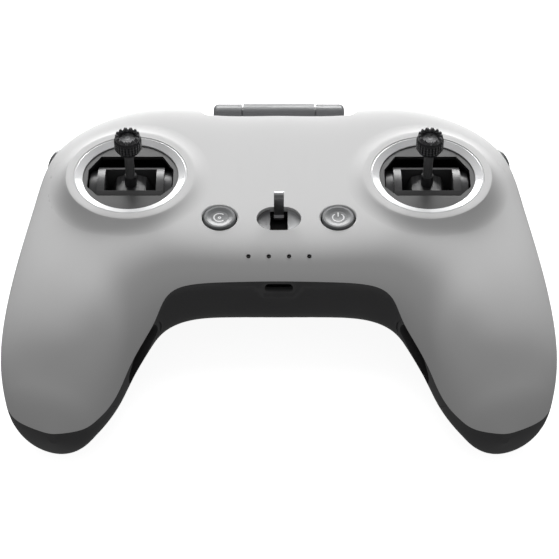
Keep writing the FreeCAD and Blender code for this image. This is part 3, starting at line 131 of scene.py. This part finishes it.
def ease(x):
    """A smooth step from 0 to 1."""
    x = np.clip(x, 0.0, 1.0)
    return x * x * (3 - 2 * x)


def casing(run, angle):
    """Points of the casing: angle 0 is the outer edge, a quarter turn the top, a half turn the inner edge."""
    run, angle = np.broadcast_arrays(run, angle)
    xi, yi, xo, yo, zi, zo, ti, to, bi, bo, nti, nto, nbi, nbo = [column(run) for column in COLUMNS]
    c, s = np.cos(angle), np.sin(angle)
    outer, top = (1 + c) / 2, ease(s + 0.5)
    power = top * (nto * outer + nti * (1 - outer)) + (1 - top) * (nbo * outer + nbi * (1 - outer))
    reach = (np.abs(c) ** power + np.abs(s) ** power) ** (-1 / power)
    across, up = (1 + c * reach) / 2, s * reach
    x, y, mid = xi + (xo - xi) * across, yi + (yo - yi) * across, zi + (zo - zi) * across
    high = mid + up * (ti + (to - ti) * across - mid)
    low = mid + up * (mid - bi - (bo - bi) * ease(across / 0.5))
    return np.stack([x, y, np.where(up > 0, high, low)], axis=-1)


def casing_normals(run, angle, step=1e-3):
    """Outward unit normals of the casing."""
    along = casing(np.minimum(1, run + step), angle) - casing(np.maximum(-1, run - step), angle)
    around = casing(run, angle + step) - casing(run, angle - step)
    normal = np.cross(around, along)
    return normal / np.linalg.norm(normal, axis=-1, keepdims=True)


def inset_casing(run, angle, inset):
    """Points a given distance in from the casing."""
    points = casing(run, angle)
    return points - casing_normals(run, angle) * inset if inset else points


# ---------------------------------------------------------------- mesh helpers

def new_object(name, points, faces, smooth=True):
    """A mesh object from points in millimetres."""
    mesh = bpy.data.meshes.new(name)
    mesh.from_pydata((np.asarray(points, float) * MM).tolist(), [], [list(map(int, f)) for f in faces])
    mesh.validate()
    mesh.update()
    if smooth:
        mesh.shade_smooth()
    obj = bpy.data.objects.new(name, mesh)
    bpy.context.scene.collection.objects.link(obj)
    return obj


def grid_faces(rows, columns, closed):
    """Quads over a grid of points, joined round its columns if closed."""
    i, j = np.meshgrid(np.arange(rows - 1), np.arange(columns if closed else columns - 1), indexing="ij")
    k = (j + 1) % columns
    here, after = i * columns, (i + 1) * columns
    return np.stack([here + j, after + j, after + k, here + k], -1).reshape(-1, 4)


def face_outward(obj):
    """Points every face of a closed mesh outwards."""
    bm = bmesh.new()
    bm.from_mesh(obj.data)
    bmesh.ops.recalc_face_normals(bm, faces=bm.faces)
    if bm.calc_volume(signed=True) < 0:
        bmesh.ops.reverse_faces(bm, faces=bm.faces)
    bm.to_mesh(obj.data)
    bm.free()
    return obj


def run_steps(reach, rows):
    """Runs from -reach to reach, closer together towards the ends."""
    part = np.linspace(-1, 1, rows)
    return reach * (0.6 * part + 0.4 * np.sin(part * np.pi / 2))


def closed_skin(name, inset, reach, rows=300, columns=200):
    """A closed mesh inside the casing form, a given distance in from its outside."""
    run = run_steps(reach, rows)[:, None]
    angle = np.linspace(0, 2 * math.pi, columns, endpoint=False)[None, :]
    points = inset_casing(run, angle, inset).reshape(-1, 3)
    faces = grid_faces(rows, columns, True).tolist()
    faces += [list(range(columns)), list(range(rows * columns - columns, rows * columns))]
    return face_outward(new_object(name, points, faces))


def above_seam(name, margin=9.0):
    """Everything above the seam surface, as a closed mesh."""
    run = np.concatenate([[-1.06, -1.03], np.linspace(-1, 1, 161), [1.03, 1.06]])
    inside = np.clip(run, -1, 1)
    xi, yi, xo, yo = [COLUMNS[k](inside) for k in range(4)]
    beyond = (np.abs(run) - np.abs(inside)) * 100
    start, end = np.stack([xi, yi - beyond], -1), np.stack([xo, yo - beyond], -1)
    width = np.linalg.norm(end - start, axis=-1)
    outward = (end - start) / width[:, None]
    near, steps = margin * np.minimum(1, 0.35 + width / 60), 25
    distance = -near[:, None] + (width + near + margin)[:, None] * np.linspace(0, 1, steps)[None, :]
    share = ease(distance / width[:, None])
    z = SEAM_INNER(inside)[:, None] * (1 - share) + SEAM_OUTER(inside)[:, None] * share
    plan = start[:, None] + outward[:, None] * distance[..., None]
    low = np.concatenate([plan, z[..., None]], -1).reshape(-1, 3)
    high = low + np.array([0, 0, 80.0])
    rows = len(run)
    faces = grid_faces(rows, steps, False)
    count = rows * steps
    border = ([(i, 0) for i in range(rows)] + [(rows - 1, j) for j in range(1, steps)]
              + [(i, steps - 1) for i in range(rows - 2, -1, -1)] + [(0, j) for j in range(steps - 2, 0, -1)])
    ring = [i * steps + j for i, j in border]
    walls = [[a, b, b + count, a + count] for a, b in zip(ring, ring[1:] + ring[:1])]
    faces = faces.tolist() + (faces + count).tolist() + walls
    return face_outward(new_object(name, np.concatenate([low, high]), faces))


def prism(name, outline, low, high, axis=2):
    """A closed prism along one axis; its outline gives the other two coordinates in order."""
    keep = [k for k in range(3) if k != axis]
    points = np.zeros((2 * len(outline), 3))
    points[:, keep] = np.concatenate([outline, outline])
    points[:len(outline), axis], points[len(outline):, axis] = low, high
    n = len(outline)
    faces = [list(range(n)), list(range(n, 2 * n))]
    faces += [[i, (i + 1) % n, n + (i + 1) % n, n + i] for i in range(n)]
    return face_outward(new_object(name, points, faces, smooth=False))


def turned(name, profile, x, y, steps=160):
    """A closed body turned about a vertical line; the profile of (radius, z) starts and ends on the axis."""
    profile = np.array(profile, float)
    angle = np.linspace(0, 2 * math.pi, steps, endpoint=False)
    rings = profile[1:-1]
    points = np.stack([np.outer(rings[:, 0], np.cos(angle)) + x, np.outer(rings[:, 0], np.sin(angle)) + y,
                       np.repeat(rings[:, 1:2], steps, 1)], -1).reshape(-1, 3)
    first, last = len(points), len(points) + 1
    points = np.concatenate([points, [[x, y, profile[0, 1]], [x, y, profile[-1, 1]]]])
    faces = grid_faces(len(rings), steps, True).tolist()
    end = (len(rings) - 1) * steps
    for i in range(steps):
        faces.append([first, i, (i + 1) % steps])
        faces.append([last, end + (i + 1) % steps, end + i])
    return face_outward(new_object(name, points, faces))


def stadium(width, height, steps=24):
    """The outline of a slot with round ends, about the origin."""
    radius, reach = height / 2, (width - height) / 2
    angles = np.linspace(-math.pi / 2, math.pi / 2, steps)
    right = np.stack([reach + radius * np.cos(angles), radius * np.sin(angles)], -1)
    return np.concatenate([right, -right])


def rounded_box(width, height, radius, steps=8):
    """The outline of a rectangle with round corners, about the origin."""
    corners = []
    for k, (sx, sy) in enumerate(((1, 1), (-1, 1), (-1, -1), (1, -1))):
        angles = np.linspace(k * math.pi / 2, (k + 1) * math.pi / 2, steps)
        corners.append(np.stack([sx * (width / 2 - radius) + radius * np.cos(angles),
                                 sy * (height / 2 - radius) + radius * np.sin(angles)], -1))
    return np.concatenate(corners)


def placed(obj, place):
    """Moves a mesh drawn about the origin to a seat: a point in millimetres and a 3 x 3 matrix of axes."""
    point, axes = place
    matrix = Matrix(axes.tolist()).to_4x4()
    matrix.translation = Vector((point * MM).tolist())
    obj.data.transform(matrix)
    return obj


def combine(target, tools, operation="DIFFERENCE"):
    """Applies one boolean for each tool to target, and removes the tools."""
    for tool in tools:
        modifier = target.modifiers.new("cut", "BOOLEAN")
        modifier.operation = operation
        modifier.solver = "MANIFOLD"
        modifier.object = tool
        apply_modifiers(target)
        bpy.data.objects.remove(tool)
    return target


def apply_modifiers(obj):
    """Replaces an object's mesh by what its modifiers make of it."""
    evaluated = obj.evaluated_get(bpy.context.evaluated_depsgraph_get())
    mesh = bpy.data.meshes.new_from_object(evaluated)
    obj.modifiers.clear()
    obj.data = mesh


def duplicate(obj, name):
    """A copy of an object with its own mesh."""
    copy = bpy.data.objects.new(name, obj.data.copy())
    bpy.context.scene.collection.objects.link(copy)
    return copy


def smooth_from(obj, sources, near=0.00004, agree=0.9):
    """Gives obj the shading of the smooth source surfaces wherever it lies on one of them."""
    depsgraph = bpy.context.evaluated_depsgraph_get()
    trees = [(BVHTree.FromObject(source, depsgraph), source.data) for source in sources]
    mesh = obj.data
    normals = [Vector((0, 0, 0))] * len(mesh.loops)
    for polygon in mesh.polygons:
        best = None
        for tree, source in trees:
            place, normal, index, distance = tree.find_nearest(polygon.center, near)
            if place is not None and distance < near and normal.dot(polygon.normal) > agree:
                if best is None or distance < best[0]:
                    best = (distance, tree, source)
        if best is None:
            continue
        _, tree, source = best
        for loop in polygon.loop_indices:
            point = mesh.vertices[mesh.loops[loop].vertex_index].co
            place, _, index, _ = tree.find_nearest(point)
            face = source.polygons[index]
            weights = [1 / ((source.vertices[v].co - place).length + 1e-7) ** 2 for v in face.vertices]
            normal = sum((source.vertices[v].normal * w for v, w in zip(face.vertices, weights)), Vector())
            normals[loop] = normal.normalized()
    mesh.normals_split_custom_set(normals)


# ---------------------------------------------------------------- casing shells

def seat(run, angle):
    """A point of the casing with axes: Z along the outward normal, X along the run."""
    along = casing(run + 0.01, angle) - casing(run - 0.01, angle)
    return casing(run, angle), axes_of(along, casing_normals(run, angle))


def axes_of(along, out):
    """The unit axes with Z along out and X as near as can be to along, as the columns of a matrix."""
    along = along - out * np.dot(along, out)
    along = along / np.linalg.norm(along)
    return np.stack([along, np.cross(out, along), out], axis=1)


def face_point(x, y):
    """The height of the casing over points in plan, and its normal there."""
    runs, angles = np.meshgrid(np.linspace(-0.75, 0.75, 301), np.linspace(0.1, math.pi - 0.1, 161),
                               indexing="ij")
    known = casing(runs, angles)[..., :2].reshape(-1, 2)
    tree = KDTree(len(known))
    for i, (kx, ky) in enumerate(known):
        tree.insert((kx, ky, 0), i)
    tree.balance()
    found = np.array([tree.find((a, b, 0))[1] for a, b in zip(np.ravel(x), np.ravel(y))])
    run, angle = runs.ravel()[found], angles.ravel()[found]
    goal, step = np.stack([np.ravel(x), np.ravel(y)], -1), 1e-4
    for _ in range(8):
        here = casing(run, angle)
        by_run = (casing(run + step, angle) - here)[:, :2] / step
        by_angle = (casing(run, angle + step) - here)[:, :2] / step
        miss = goal - here[:, :2]
        scale = by_run[:, 0] * by_angle[:, 1] - by_run[:, 1] * by_angle[:, 0]
        run = run + (miss[:, 0] * by_angle[:, 1] - miss[:, 1] * by_angle[:, 0]) / scale
        angle = angle + (by_run[:, 0] * miss[:, 1] - by_run[:, 1] * miss[:, 0]) / scale
    return casing(run, angle)[:, 2].reshape(np.shape(x)), casing_normals(run, angle).reshape(*np.shape(x), 3)


def collar(name, sign, steps=192):
    """The raised rim round one stick well, as a closed body; its far edge dips just under the face."""
    cx, cy, edge, reach = sign * STICK_X, STICK_Y, COLLAR_EDGE, COLLAR_REACH
    inner, flat, foot, steepness, dip = 15.0, edge - 0.35, 38.0, 2.4, 0.012
    shoulder = flat + np.array([0.1, 0.2, 0.3, 0.4, 0.5, 0.65])
    radii = np.concatenate([np.linspace(inner, flat, 8), shoulder, np.linspace(edge + 0.6, reach, 26)])
    angle = np.linspace(0, 2 * math.pi, steps, endpoint=False)
    x, y = cx + radii[:, None] * np.cos(angle), cy + radii[:, None] * np.sin(angle)
    height, _ = face_point(x, y)
    fall = np.clip((radii - edge) / (reach - edge), 0, 1)[:, None]
    raised = np.where(radii[:, None] <= edge, 1.0, (1 - fall) ** steepness)
    soften = np.exp(-((radii[:, None] - edge) / 0.3) ** 2) * 0.06
    z = height + (COLLAR_TOP - height) * raised - soften - dip * fall
    grid = np.stack([x, y, z], -1)
    low = np.stack([x[[0, -1]], y[[0, -1]], np.full((2, steps), foot)], -1)
    points = np.concatenate([low[:1], grid, low[1:]]).reshape(-1, 3)
    rows = len(radii) + 2
    faces = grid_faces(rows, steps, True)
    last = (rows - 1) * steps
    bottom = [[i, (i + 1) % steps, last + (i + 1) % steps, last + i] for i in range(steps)]
    return face_outward(new_object(name, points, faces.tolist() + bottom))


def rod_x(name, radius, x0, x1, y, z, steps=96):
    """A closed rod along X."""
    angle = np.linspace(0, 2 * math.pi, steps, endpoint=False)
    return prism(name, np.stack([y + radius * np.cos(angle), z + radius * np.sin(angle)], -1), x0, x1, axis=0)


def bar(name, x0, x1, y0, y1, z0, z1):
    """A closed box between the given limits."""
    return prism(name, np.array([(x0, y0), (x1, y0), (x1, y1), (x0, y1)]), z0, z1)


def barrel_tools(extra):
    """The hollow that the antenna barrel lies in, open to the back and the top."""
    half, edge = NOTCH_HALF + extra, NOTCH_Y - extra
    tuck, spread, widest, sweep, beyond = 1.2, 7.6, 6.4, 10.0, 62.0
    t = np.linspace(0, 1, 16)
    right = np.stack([half - tuck + spread * t, edge + sweep * ease(t)], -1)
    back = [(half + widest, beyond), (-half - widest, beyond)]
    outline = np.concatenate([right, back, right[::-1] * [-1, 1]])
    barrel = rod_x("barrel", BARREL_ROOM + extra, -half, half, HINGE_Y, HINGE_Z)
    return [barrel, prism("notch", outline, HINGE_Z, beyond)]


def hole(name, radius, x, y, lip=0.3, flare=0.35):
    """A tool for a round hole through the face, with a bright bevelled lip."""
    height, normal = face_point(np.array([x]), np.array([y]))
    profile = [(0, -8.0), (radius, -8.0), (radius, -lip),
               (radius + flare, 0.02), (radius + flare, 12.0), (0, 12.0)]
    tool = turned(name, profile, 0, 0, 128)
    return placed(tool, (np.array([x, y, height[0]]), axes_of(np.array([1.0, 0, 0]), normal[0])))


def cut_hollow(body):
    """Hollows the moulding to its wall, leaving a trough of the same wall under the antenna barrel."""
    hollow = combine(closed_skin("hollow", WALL, 0.93, 200, 120), barrel_tools(WALL))
    return combine(body, [hollow])


def make_top_shell():
    """The light upper shell, with its openings, and room inside for the switch plates to slide."""
    body = closed_skin("top_shell_moulding", 0.0, 0.996)
    sources = [duplicate(body, "skin_source")]
    rims = [collar("collar", sign) for _, sign in SIDES]
    sources += [duplicate(rim, "rim_source") for rim in rims]
    combine(body, rims, "UNION")
    cut_hollow(body)
    combine(body, [above_seam("upper")], "INTERSECT")
    tools = barrel_tools(0.0)
    tools.append(bar("foot", *FOOT_ROOM))
    tools.append(rod_x("dial", DIAL_ROOM, DIAL_LEFT, DIAL_RIGHT, DIAL_Y, DIAL_Z))
    for side, sign in SIDES:
        ring = [(0, 30.0), (RING_HOLE, 30.0), (RING_HOLE, 70.0), (0, 70.0)]
        tools.append(turned("ring", ring, sign * STICK_X, STICK_Y, 192))
        tools.append(hole("button", KEY_HOLE, sign * KEY_X, KEY_Y))
        tools += [hole("lamp", LAMP_HOLE, sign * k * LAMP_PITCH, LAMP_Y, 0.1, 0.12) for k in (0.5, 1.5)]
        switch_seat = seat(SWITCH_RUN[side], SWITCH_ANGLE)
        tools.append(placed(prism("window", rounded_box(*SWITCH_WINDOW), -5.0, 3.0), switch_seat))
        tools.append(placed(prism("plate_room", rounded_box(*PLATE_ROOM), -6.5, -4.0), switch_seat))
        key = [(0, -6.0), (ROUND_KEY_HOLE, -6.0), (ROUND_KEY_HOLE, 4.0), (0, 4.0)]
        key_seat = seat(sign * ROUND_KEY_RUN, ROUND_KEY_ANGLE)
        tools.append(placed(turned("key", key, 0, 0, 96), key_seat))
    tools.append(prism("pill", stadium(*RECESS_OPENING, 40), 38.0, 60.0))
    combine(body, tools)
    smooth_from(body, sources)
    for source in sources:
        bpy.data.objects.remove(source)
    return body


# ---------------------------------------------------------------- material helpers

class Shader:
    """A Principled material with a few shorthand ways to add nodes."""

    def __init__(self, name, roughness=0.5, metallic=0.0, specular=0.5, coat=0.0, coat_roughness=0.1):
        self.material = bpy.data.materials.new(name)
        self.material.use_nodes = True
        self.tree = self.material.node_tree
        self.shader = next(n for n in self.tree.nodes if n.type == "BSDF_PRINCIPLED")
        self.shader.inputs["Roughness"].default_value = roughness
        self.shader.inputs["Metallic"].default_value = metallic
        self.shader.inputs["Specular IOR Level"].default_value = specular
        self.shader.inputs["Coat Weight"].default_value = coat
        self.shader.inputs["Coat Roughness"].default_value = coat_roughness
        self.coords = self.add("ShaderNodeTexCoord").outputs["Object"]

    def add(self, kind, **values):
        """A new node with the given settings."""
        node = self.tree.nodes.new(kind)
        for key, value in values.items():
            setattr(node, key, value)
        return node

    def link(self, source, target):
        self.tree.links.new(source, target)

    def noise(self, scale, detail=2.0, roughness=0.5, coords=None):
        """A noise value over the object's own coordinates, unless others are given."""
        node = self.add("ShaderNodeTexNoise")
        node.inputs["Scale"].default_value = scale
        node.inputs["Detail"].default_value = detail
        node.inputs["Roughness"].default_value = roughness
        self.link(coords or self.coords, node.inputs["Vector"])
        return node.outputs["Fac"]

    def ramp(self, factor, low, high, start=0.3, end=0.7):
        """A colour that runs from low to high as factor goes from start to end."""
        node = self.add("ShaderNodeValToRGB")
        node.color_ramp.elements[0].position = start
        node.color_ramp.elements[1].position = end
        node.color_ramp.elements[0].color = (*low, 1)
        node.color_ramp.elements[1].color = (*high, 1)
        self.link(factor, node.inputs["Fac"])
        return node.outputs["Color"]

    def mapped(self, factor, low, high, start=0.3, end=0.7):
        """A number that runs from low to high as factor goes from start to end."""
        node = self.add("ShaderNodeMapRange")
        for key, value in (("From Min", start), ("From Max", end), ("To Min", low), ("To Max", high)):
            node.inputs[key].default_value = value
        self.link(factor, node.inputs["Value"])
        return node.outputs["Result"]

    def mix(self, factor, a, b, blend="MIX"):
        """Two colours mixed; each value is a number, a colour or another node's output."""
        node = self.add("ShaderNodeMix", data_type="RGBA", blend_type=blend)
        slots = [s for s in node.inputs if s.enabled]
        for socket, value in zip(slots, (factor, a, b)):
            if isinstance(value, (int, float)):
                socket.default_value = value
            elif isinstance(value, tuple):
                socket.default_value = (*value, 1)
            else:
                self.link(value, socket)
        return next(s for s in node.outputs if s.enabled)

    def bump(self, height, strength, distance):
        """A normal bent by a height value."""
        node = self.add("ShaderNodeBump")
        node.inputs["Strength"].default_value = strength
        node.inputs["Distance"].default_value = distance
        self.link(height, node.inputs["Height"])
        return node.outputs["Normal"]

    def edges(self, start=0.53, end=0.6):
        """1 along convex edges, where a painted highlight lightens a surface."""
        return self.mapped(self.add("ShaderNodeNewGeometry").outputs["Pointiness"], 0.0, 1.0, start, end)

    def finish(self, colour, normal=None, roughness=None):
        """Joins up the shader's inputs and gives back the material."""
        self.link(colour, self.shader.inputs["Base Color"])
        if normal is not None:
            self.link(normal, self.shader.inputs["Normal"])
        if roughness is not None:
            self.link(roughness, self.shader.inputs["Roughness"])
        return self.material


def shade(colour, factor):
    """A colour made lighter or darker."""
    return tuple(min(1.0, c * factor) for c in colour)


def moulded_plastic(name, colour, roughness=0.5, grain=9000.0, depth=0.00002, vary=0.06, edge_highlight_amount=0.12,
                    specular=0.5):
    """Spark-grained injection-moulded plastic with faint cloudiness and a painted highlight that lightens its
    edges.
    """
    s = Shader(name, roughness, specular=specular)
    cloud = s.noise(26.0, 4.0)
    base = s.ramp(cloud, shade(colour, 1 - vary), shade(colour, 1 + vary))
    speck = s.ramp(s.noise(grain * 0.35, 2.0), (0.94,) * 3, (1.0,) * 3, 0.4, 0.62)
    base = s.mix(1.0, base, speck, "MULTIPLY")
    # Painted highlight: convex edges are lightened towards a paler colour.
    painted_edge_highlight = shade(colour, 1.5) if max(colour) > 0.2 else (0.3,) * 3
    base = s.mix(s.mapped(s.edges(), 0.0, edge_highlight_amount, 0.0, 1.0), base, painted_edge_highlight)
    rough = s.mapped(s.noise(60.0, 3.0), roughness - 0.05, roughness + 0.06)
    normal = s.bump(s.noise(grain, 2.0, 0.6), 0.35, depth)
    return s.finish(base, normal, rough)


def brushed_metal(name, colour, roughness=0.28, stretch=(1.0, 40.0, 40.0), vary=0.08):
    """Bright metal with fine directional lines and small scuffs."""
    s = Shader(name, roughness, metallic=1.0)
    mapping = s.add("ShaderNodeMapping")
    mapping.inputs["Scale"].default_value = stretch
    s.link(s.coords, mapping.inputs["Vector"])
    lines = s.noise(300.0, 3.0, 0.6, mapping.outputs["Vector"])
    base = s.ramp(lines, shade(colour, 1 - vary), shade(colour, 1 + vary))
    rough = s.mapped(s.noise(400.0, 3.0), roughness - 0.07, roughness + 0.1)
    return s.finish(base, s.bump(lines, 0.15, 0.00002), rough)


def gloss_plastic(name, colour, roughness=0.14, coat=0.4):
    """Polished moulding with fine swirl marks in its gloss."""
    s = Shader(name, roughness, coat=coat, coat_roughness=0.08)
    base = s.ramp(s.noise(40.0, 3.0), shade(colour, 0.96), shade(colour, 1.04))
    swirl = s.noise(2400.0, 4.0, 0.7)
    rough = s.mapped(swirl, roughness - 0.03, roughness + 0.06)
    return s.finish(base, s.bump(s.noise(180.0, 2.0), 0.04, 0.0001), rough)


# Moulded plastics by material slot: name, colour, roughness, and where given the scale of the grain, its
# depth in metres, how far the colour clouds and how much the painted edge highlight lightens the edges.
PLASTICS = {
    "shell_grey": ("shell_grey_plastic", (0.54, 0.545, 0.555), 0.42, 7000.0, 0.000012, 0.02, 0.05),
    "shell_dark": ("shell_dark_plastic", (0.065, 0.065, 0.067), 0.5, 6000.0, 0.00002, 0.06, 0.10),
    "well_black": ("well_black_plastic", (0.012, 0.012, 0.013), 0.36, 5000.0, 0.00001, 0.05, 0.06),
    "gimbal_grey": ("gimbal_grey_plastic", (0.034, 0.034, 0.036), 0.38, 5000.0, 0.00001, 0.06, 0.2),
    "stick_metal": ("stick_dark_metal", (0.035, 0.035, 0.038), 0.33, 5000.0, 0.00001, 0.06, 0.25),
    "sensor_black": ("sensor_black_plastic", (0.02, 0.02, 0.02), 0.45),
    "key_grey": ("key_grey_plastic", (0.20, 0.205, 0.21), 0.34, 5000.0, 0.000008, 0.02, 0.08),
    "switch_dark": ("switch_dark_plastic", (0.03, 0.03, 0.032), 0.45, 5000.0, 0.00002, 0.06, 0.2),
    "socket_black": ("socket_black_plastic", (0.01, 0.01, 0.01), 0.4),
    "board_green": ("board_solder_mask", (0.012, 0.09, 0.035), 0.3),
    "tray_grey": ("tray_grey_plastic", (0.06, 0.06, 0.065), 0.5),
    "wire_black": ("wire_black_rubber", (0.012, 0.012, 0.012), 0.5),
    "antenna_grey": ("antenna_grey_plastic", (0.17, 0.175, 0.18), 0.42, 6000.0, 0.000012, 0.03, 0.1),
}


def make_materials():
    """The materials of the pieces, by material slot."""
    materials = {slot: moulded_plastic(*values) for slot, values in PLASTICS.items()}
    materials["bezel_gloss"] = gloss_plastic("bezel_gloss_plastic", (0.86, 0.865, 0.875), 0.2, 0.6)
    materials["steel"] = brushed_metal("bright_steel", (0.72, 0.72, 0.73))
    materials["lamp_clear"] = gloss_plastic("lamp_clear_plastic", (0.85, 0.85, 0.83), 0.2, 0.3)
    materials["cell_sleeve"] = gloss_plastic("cell_shrink_sleeve", (0.06, 0.2, 0.5), 0.3, 0.1)
    return materials


def recess_plastic_painted_shade():
    """The lanyard recess: shell-coloured plastic with painted shade, darker in its left half and painted black
    down in its channel.
    """
    s = Shader("recess_plastic_painted_shade", 0.4)
    x = s.add("ShaderNodeSeparateXYZ")
    s.link(s.coords, x.inputs["Vector"])
    across = s.mapped(x.outputs["X"], 0.0, 1.0, -0.0045, 0.0045)
    # Painted shade: the recess darkens towards its left side.
    painted_side_shade = s.ramp(across, (0.10, 0.10, 0.105), (0.30, 0.305, 0.31), 0.2, 0.8)
    depth = s.mapped(x.outputs["Z"], 0.0, 1.0, 0.0428, 0.0444)
    # Painted shade: deeper in the channel the colour goes to black.
    base = s.mix(depth, (0.008, 0.008, 0.008), painted_side_shade)
    speck = s.ramp(s.noise(2500.0), (0.95,) * 3, (1.0,) * 3, 0.4, 0.62)
    return s.finish(s.mix(1.0, base, speck, "MULTIPLY"), s.bump(s.noise(6000.0), 0.3, 0.00001))


def knurled_metal():
    """Dark anodised metal with turned rings round the stick caps, and a painted highlight along its convex
    edges.
    """
    s = Shader("knurled_dark_metal", 0.3, metallic=0.6)
    wave = s.add("ShaderNodeTexWave", bands_direction="Z", wave_profile="SIN")
    wave.inputs["Scale"].default_value = 340.0
    s.link(s.coords, wave.inputs["Vector"])
    base = s.ramp(s.noise(300.0), (0.035, 0.035, 0.037), (0.055, 0.055, 0.058))
    # Painted highlight: convex edges are lightened to mid grey.
    base = s.mix(s.mapped(s.edges(), 0.0, 0.5, 0.0, 1.0), base, (0.45, 0.45, 0.46))
    lines = s.ramp(wave.outputs["Fac"], (0.45,) * 3, (1.0,) * 3, 0.1, 0.5)
    rough = s.mapped(s.noise(500.0), 0.26, 0.4)
    return s.finish(s.mix(1.0, base, lines, "MULTIPLY"), s.bump(wave.outputs["Fac"], 0.5, 0.0002), rough)


MATERIALS = make_materials()
KNURLED = knurled_metal()
BLACK = moulded_plastic("black_window_plastic", (0.004, 0.004, 0.004), 0.6, 5000.0, 0.00001, 0.05, 0.0, 0.1)
DARK_STEEL = brushed_metal("dark_steel", (0.34, 0.34, 0.35), 0.36)
SPECIAL = {
    "left_stick_cap": KNURLED, "right_stick_cap": KNURLED, "charge_lamps": BLACK, "lanyard_pin": BLACK,
    "lanyard_hook": DARK_STEEL, "usb_shell": DARK_STEEL, "lanyard_recess_cup": recess_plastic_painted_shade(),
}
for entry in frame["record"]["subparts"]:
    node = frame["nodes"][entry["node"]]
    node.data.materials.clear()
    node.data.materials.append(SPECIAL.get(entry["node"], MATERIALS[entry["material_slot"]]))

TOP_SHELL = make_top_shell()
TOP_SHELL.data.materials.append(MATERIALS["shell_grey"])
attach(TOP_SHELL, "casing")
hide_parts("top_shell")


# ---------------------------------------------------------------- printed marks

def stroke(points, width):
    """The corner points of a flat band of a given width along a line of points."""
    points = np.array(points, float)
    along = np.gradient(points, axis=0)
    along /= np.linalg.norm(along, axis=1)[:, None]
    side = np.stack([-along[:, 1], along[:, 0]], -1) * width / 2
    return np.stack([points + side, points - side], 1)


def arc(radius, start, end, steps=40):
    """Points along an arc about the origin, between two angles in degrees."""
    angle = np.radians(np.linspace(start, end, steps))
    return np.stack([radius * np.cos(angle), radius * np.sin(angle)], -1)


def make_mark(name, x, y, bands, body, material):
    """A printed mark of flat bands, lying in the shallow dish of a round key."""
    points, faces = [], []
    for band in bands:
        first = len(points)
        for pair in band:
            for px, py in pair:
                points.append((x + px, y + py, KEY_DISH_Z + KEY_DISH_RISE * math.hypot(px, py)))
        starts = range(first, first + 2 * (len(band) - 1), 2)
        faces += [[i, i + 1, i + 3, i + 2] for i in starts]
    mark = new_object(name, points, faces, smooth=False)
    bm = bmesh.new()
    bm.from_mesh(mark.data)
    if sum(f.normal.z for f in bm.faces) < 0:
        bmesh.ops.reverse_faces(bm, faces=bm.faces)
    bm.to_mesh(mark.data)
    bm.free()
    mark.data.materials.append(material)
    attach(mark, body)


PAINT = moulded_plastic("mark_paint", (0.85, 0.85, 0.86), 0.5, 4000.0, 0.000004, 0.02, 0.0)
OPEN_RING = [stroke(arc(1.7, 45, 315), 0.4), stroke(arc(0.35, 0, 360, 20), 0.4)]
POWER_SIGN = [stroke(arc(1.7, 125, 415), 0.4), stroke([(0, 0.4), (0, 1.3), (0, 2.2)], 0.4)]
make_mark("function_mark", -KEY_X, KEY_Y, OPEN_RING, "c1_key", PAINT)
make_mark("power_mark", KEY_X, KEY_Y, POWER_SIGN, "power_key", PAINT)


# ---------------------------------------------------------------- floor, light and camera

def make_floor():
    """A plain white studio sweep."""
    mesh = bpy.data.meshes.new("floor")
    half = 3.0
    corners = [(-half, -half, 0), (half, -half, 0), (half, half, 0), (-half, half, 0)]
    mesh.from_pydata(corners, [], [(0, 1, 2, 3)])
    floor = bpy.data.objects.new("floor", mesh)
    bpy.context.scene.collection.objects.link(floor)
    s = Shader("floor_paper", 0.9, specular=0.1)
    s.shader.inputs["Emission Color"].default_value = (1, 1, 1, 1)
    s.shader.inputs["Emission Strength"].default_value = 0.9
    floor.data.materials.append(s.finish(s.ramp(s.noise(3.0), (0.9,) * 3, (0.93,) * 3)))
    floor.location.z = -0.0002
    floor.visible_diffuse = False
    floor.visible_glossy = False


def area_light(name, place, target, size, power):
    """A white rectangular lamp aimed at a target, in metres and watts."""
    light = bpy.data.lights.new(name, "AREA")
    light.shape = "RECTANGLE"
    light.size, light.size_y = size
    light.energy = power
    obj = bpy.data.objects.new(name, light)
    obj.location = place
    obj.rotation_euler = (Vector(target) - Vector(place)).to_track_quat("-Z", "Y").to_euler()
    bpy.context.scene.collection.objects.link(obj)


def make_light():
    """A long low lamp behind the controller, a weak one overhead, and an even white surround."""
    world = bpy.data.worlds.new("studio")
    world.use_nodes = True
    background = world.node_tree.nodes["Background"]
    background.inputs["Color"].default_value = (1, 1, 1, 1)
    background.inputs["Strength"].default_value = 0.20
    bpy.context.scene.world = world
    bpy.context.scene.view_settings.view_transform = "Standard"
    area_light("key", (0.0, 1.12, 0.50), target=(0, 0.02, 0.03), size=(1.2, 0.45), power=21.0)
    area_light("overhead", (0.0, 0.1, 1.2), target=(0, 0.0, 0.03), size=(0.9, 0.6), power=1.6)


def make_camera():
    """Looks down across the face from the user's side, from a little over half a metre away."""
    data = bpy.data.cameras.new("camera")
    data.sensor_width = 36.0
    data.lens = 117.95
    data.shift_x = 0.0011
    data.clip_start = 0.01
    camera = bpy.data.objects.new("camera", data)
    camera.location = (0, -0.3982, 0.4248)
    camera.rotation_euler = (math.radians(90 - 45.5), 0, 0)
    bpy.context.scene.collection.objects.link(camera)
    bpy.context.scene.camera = camera


make_floor()
make_light()
make_camera()
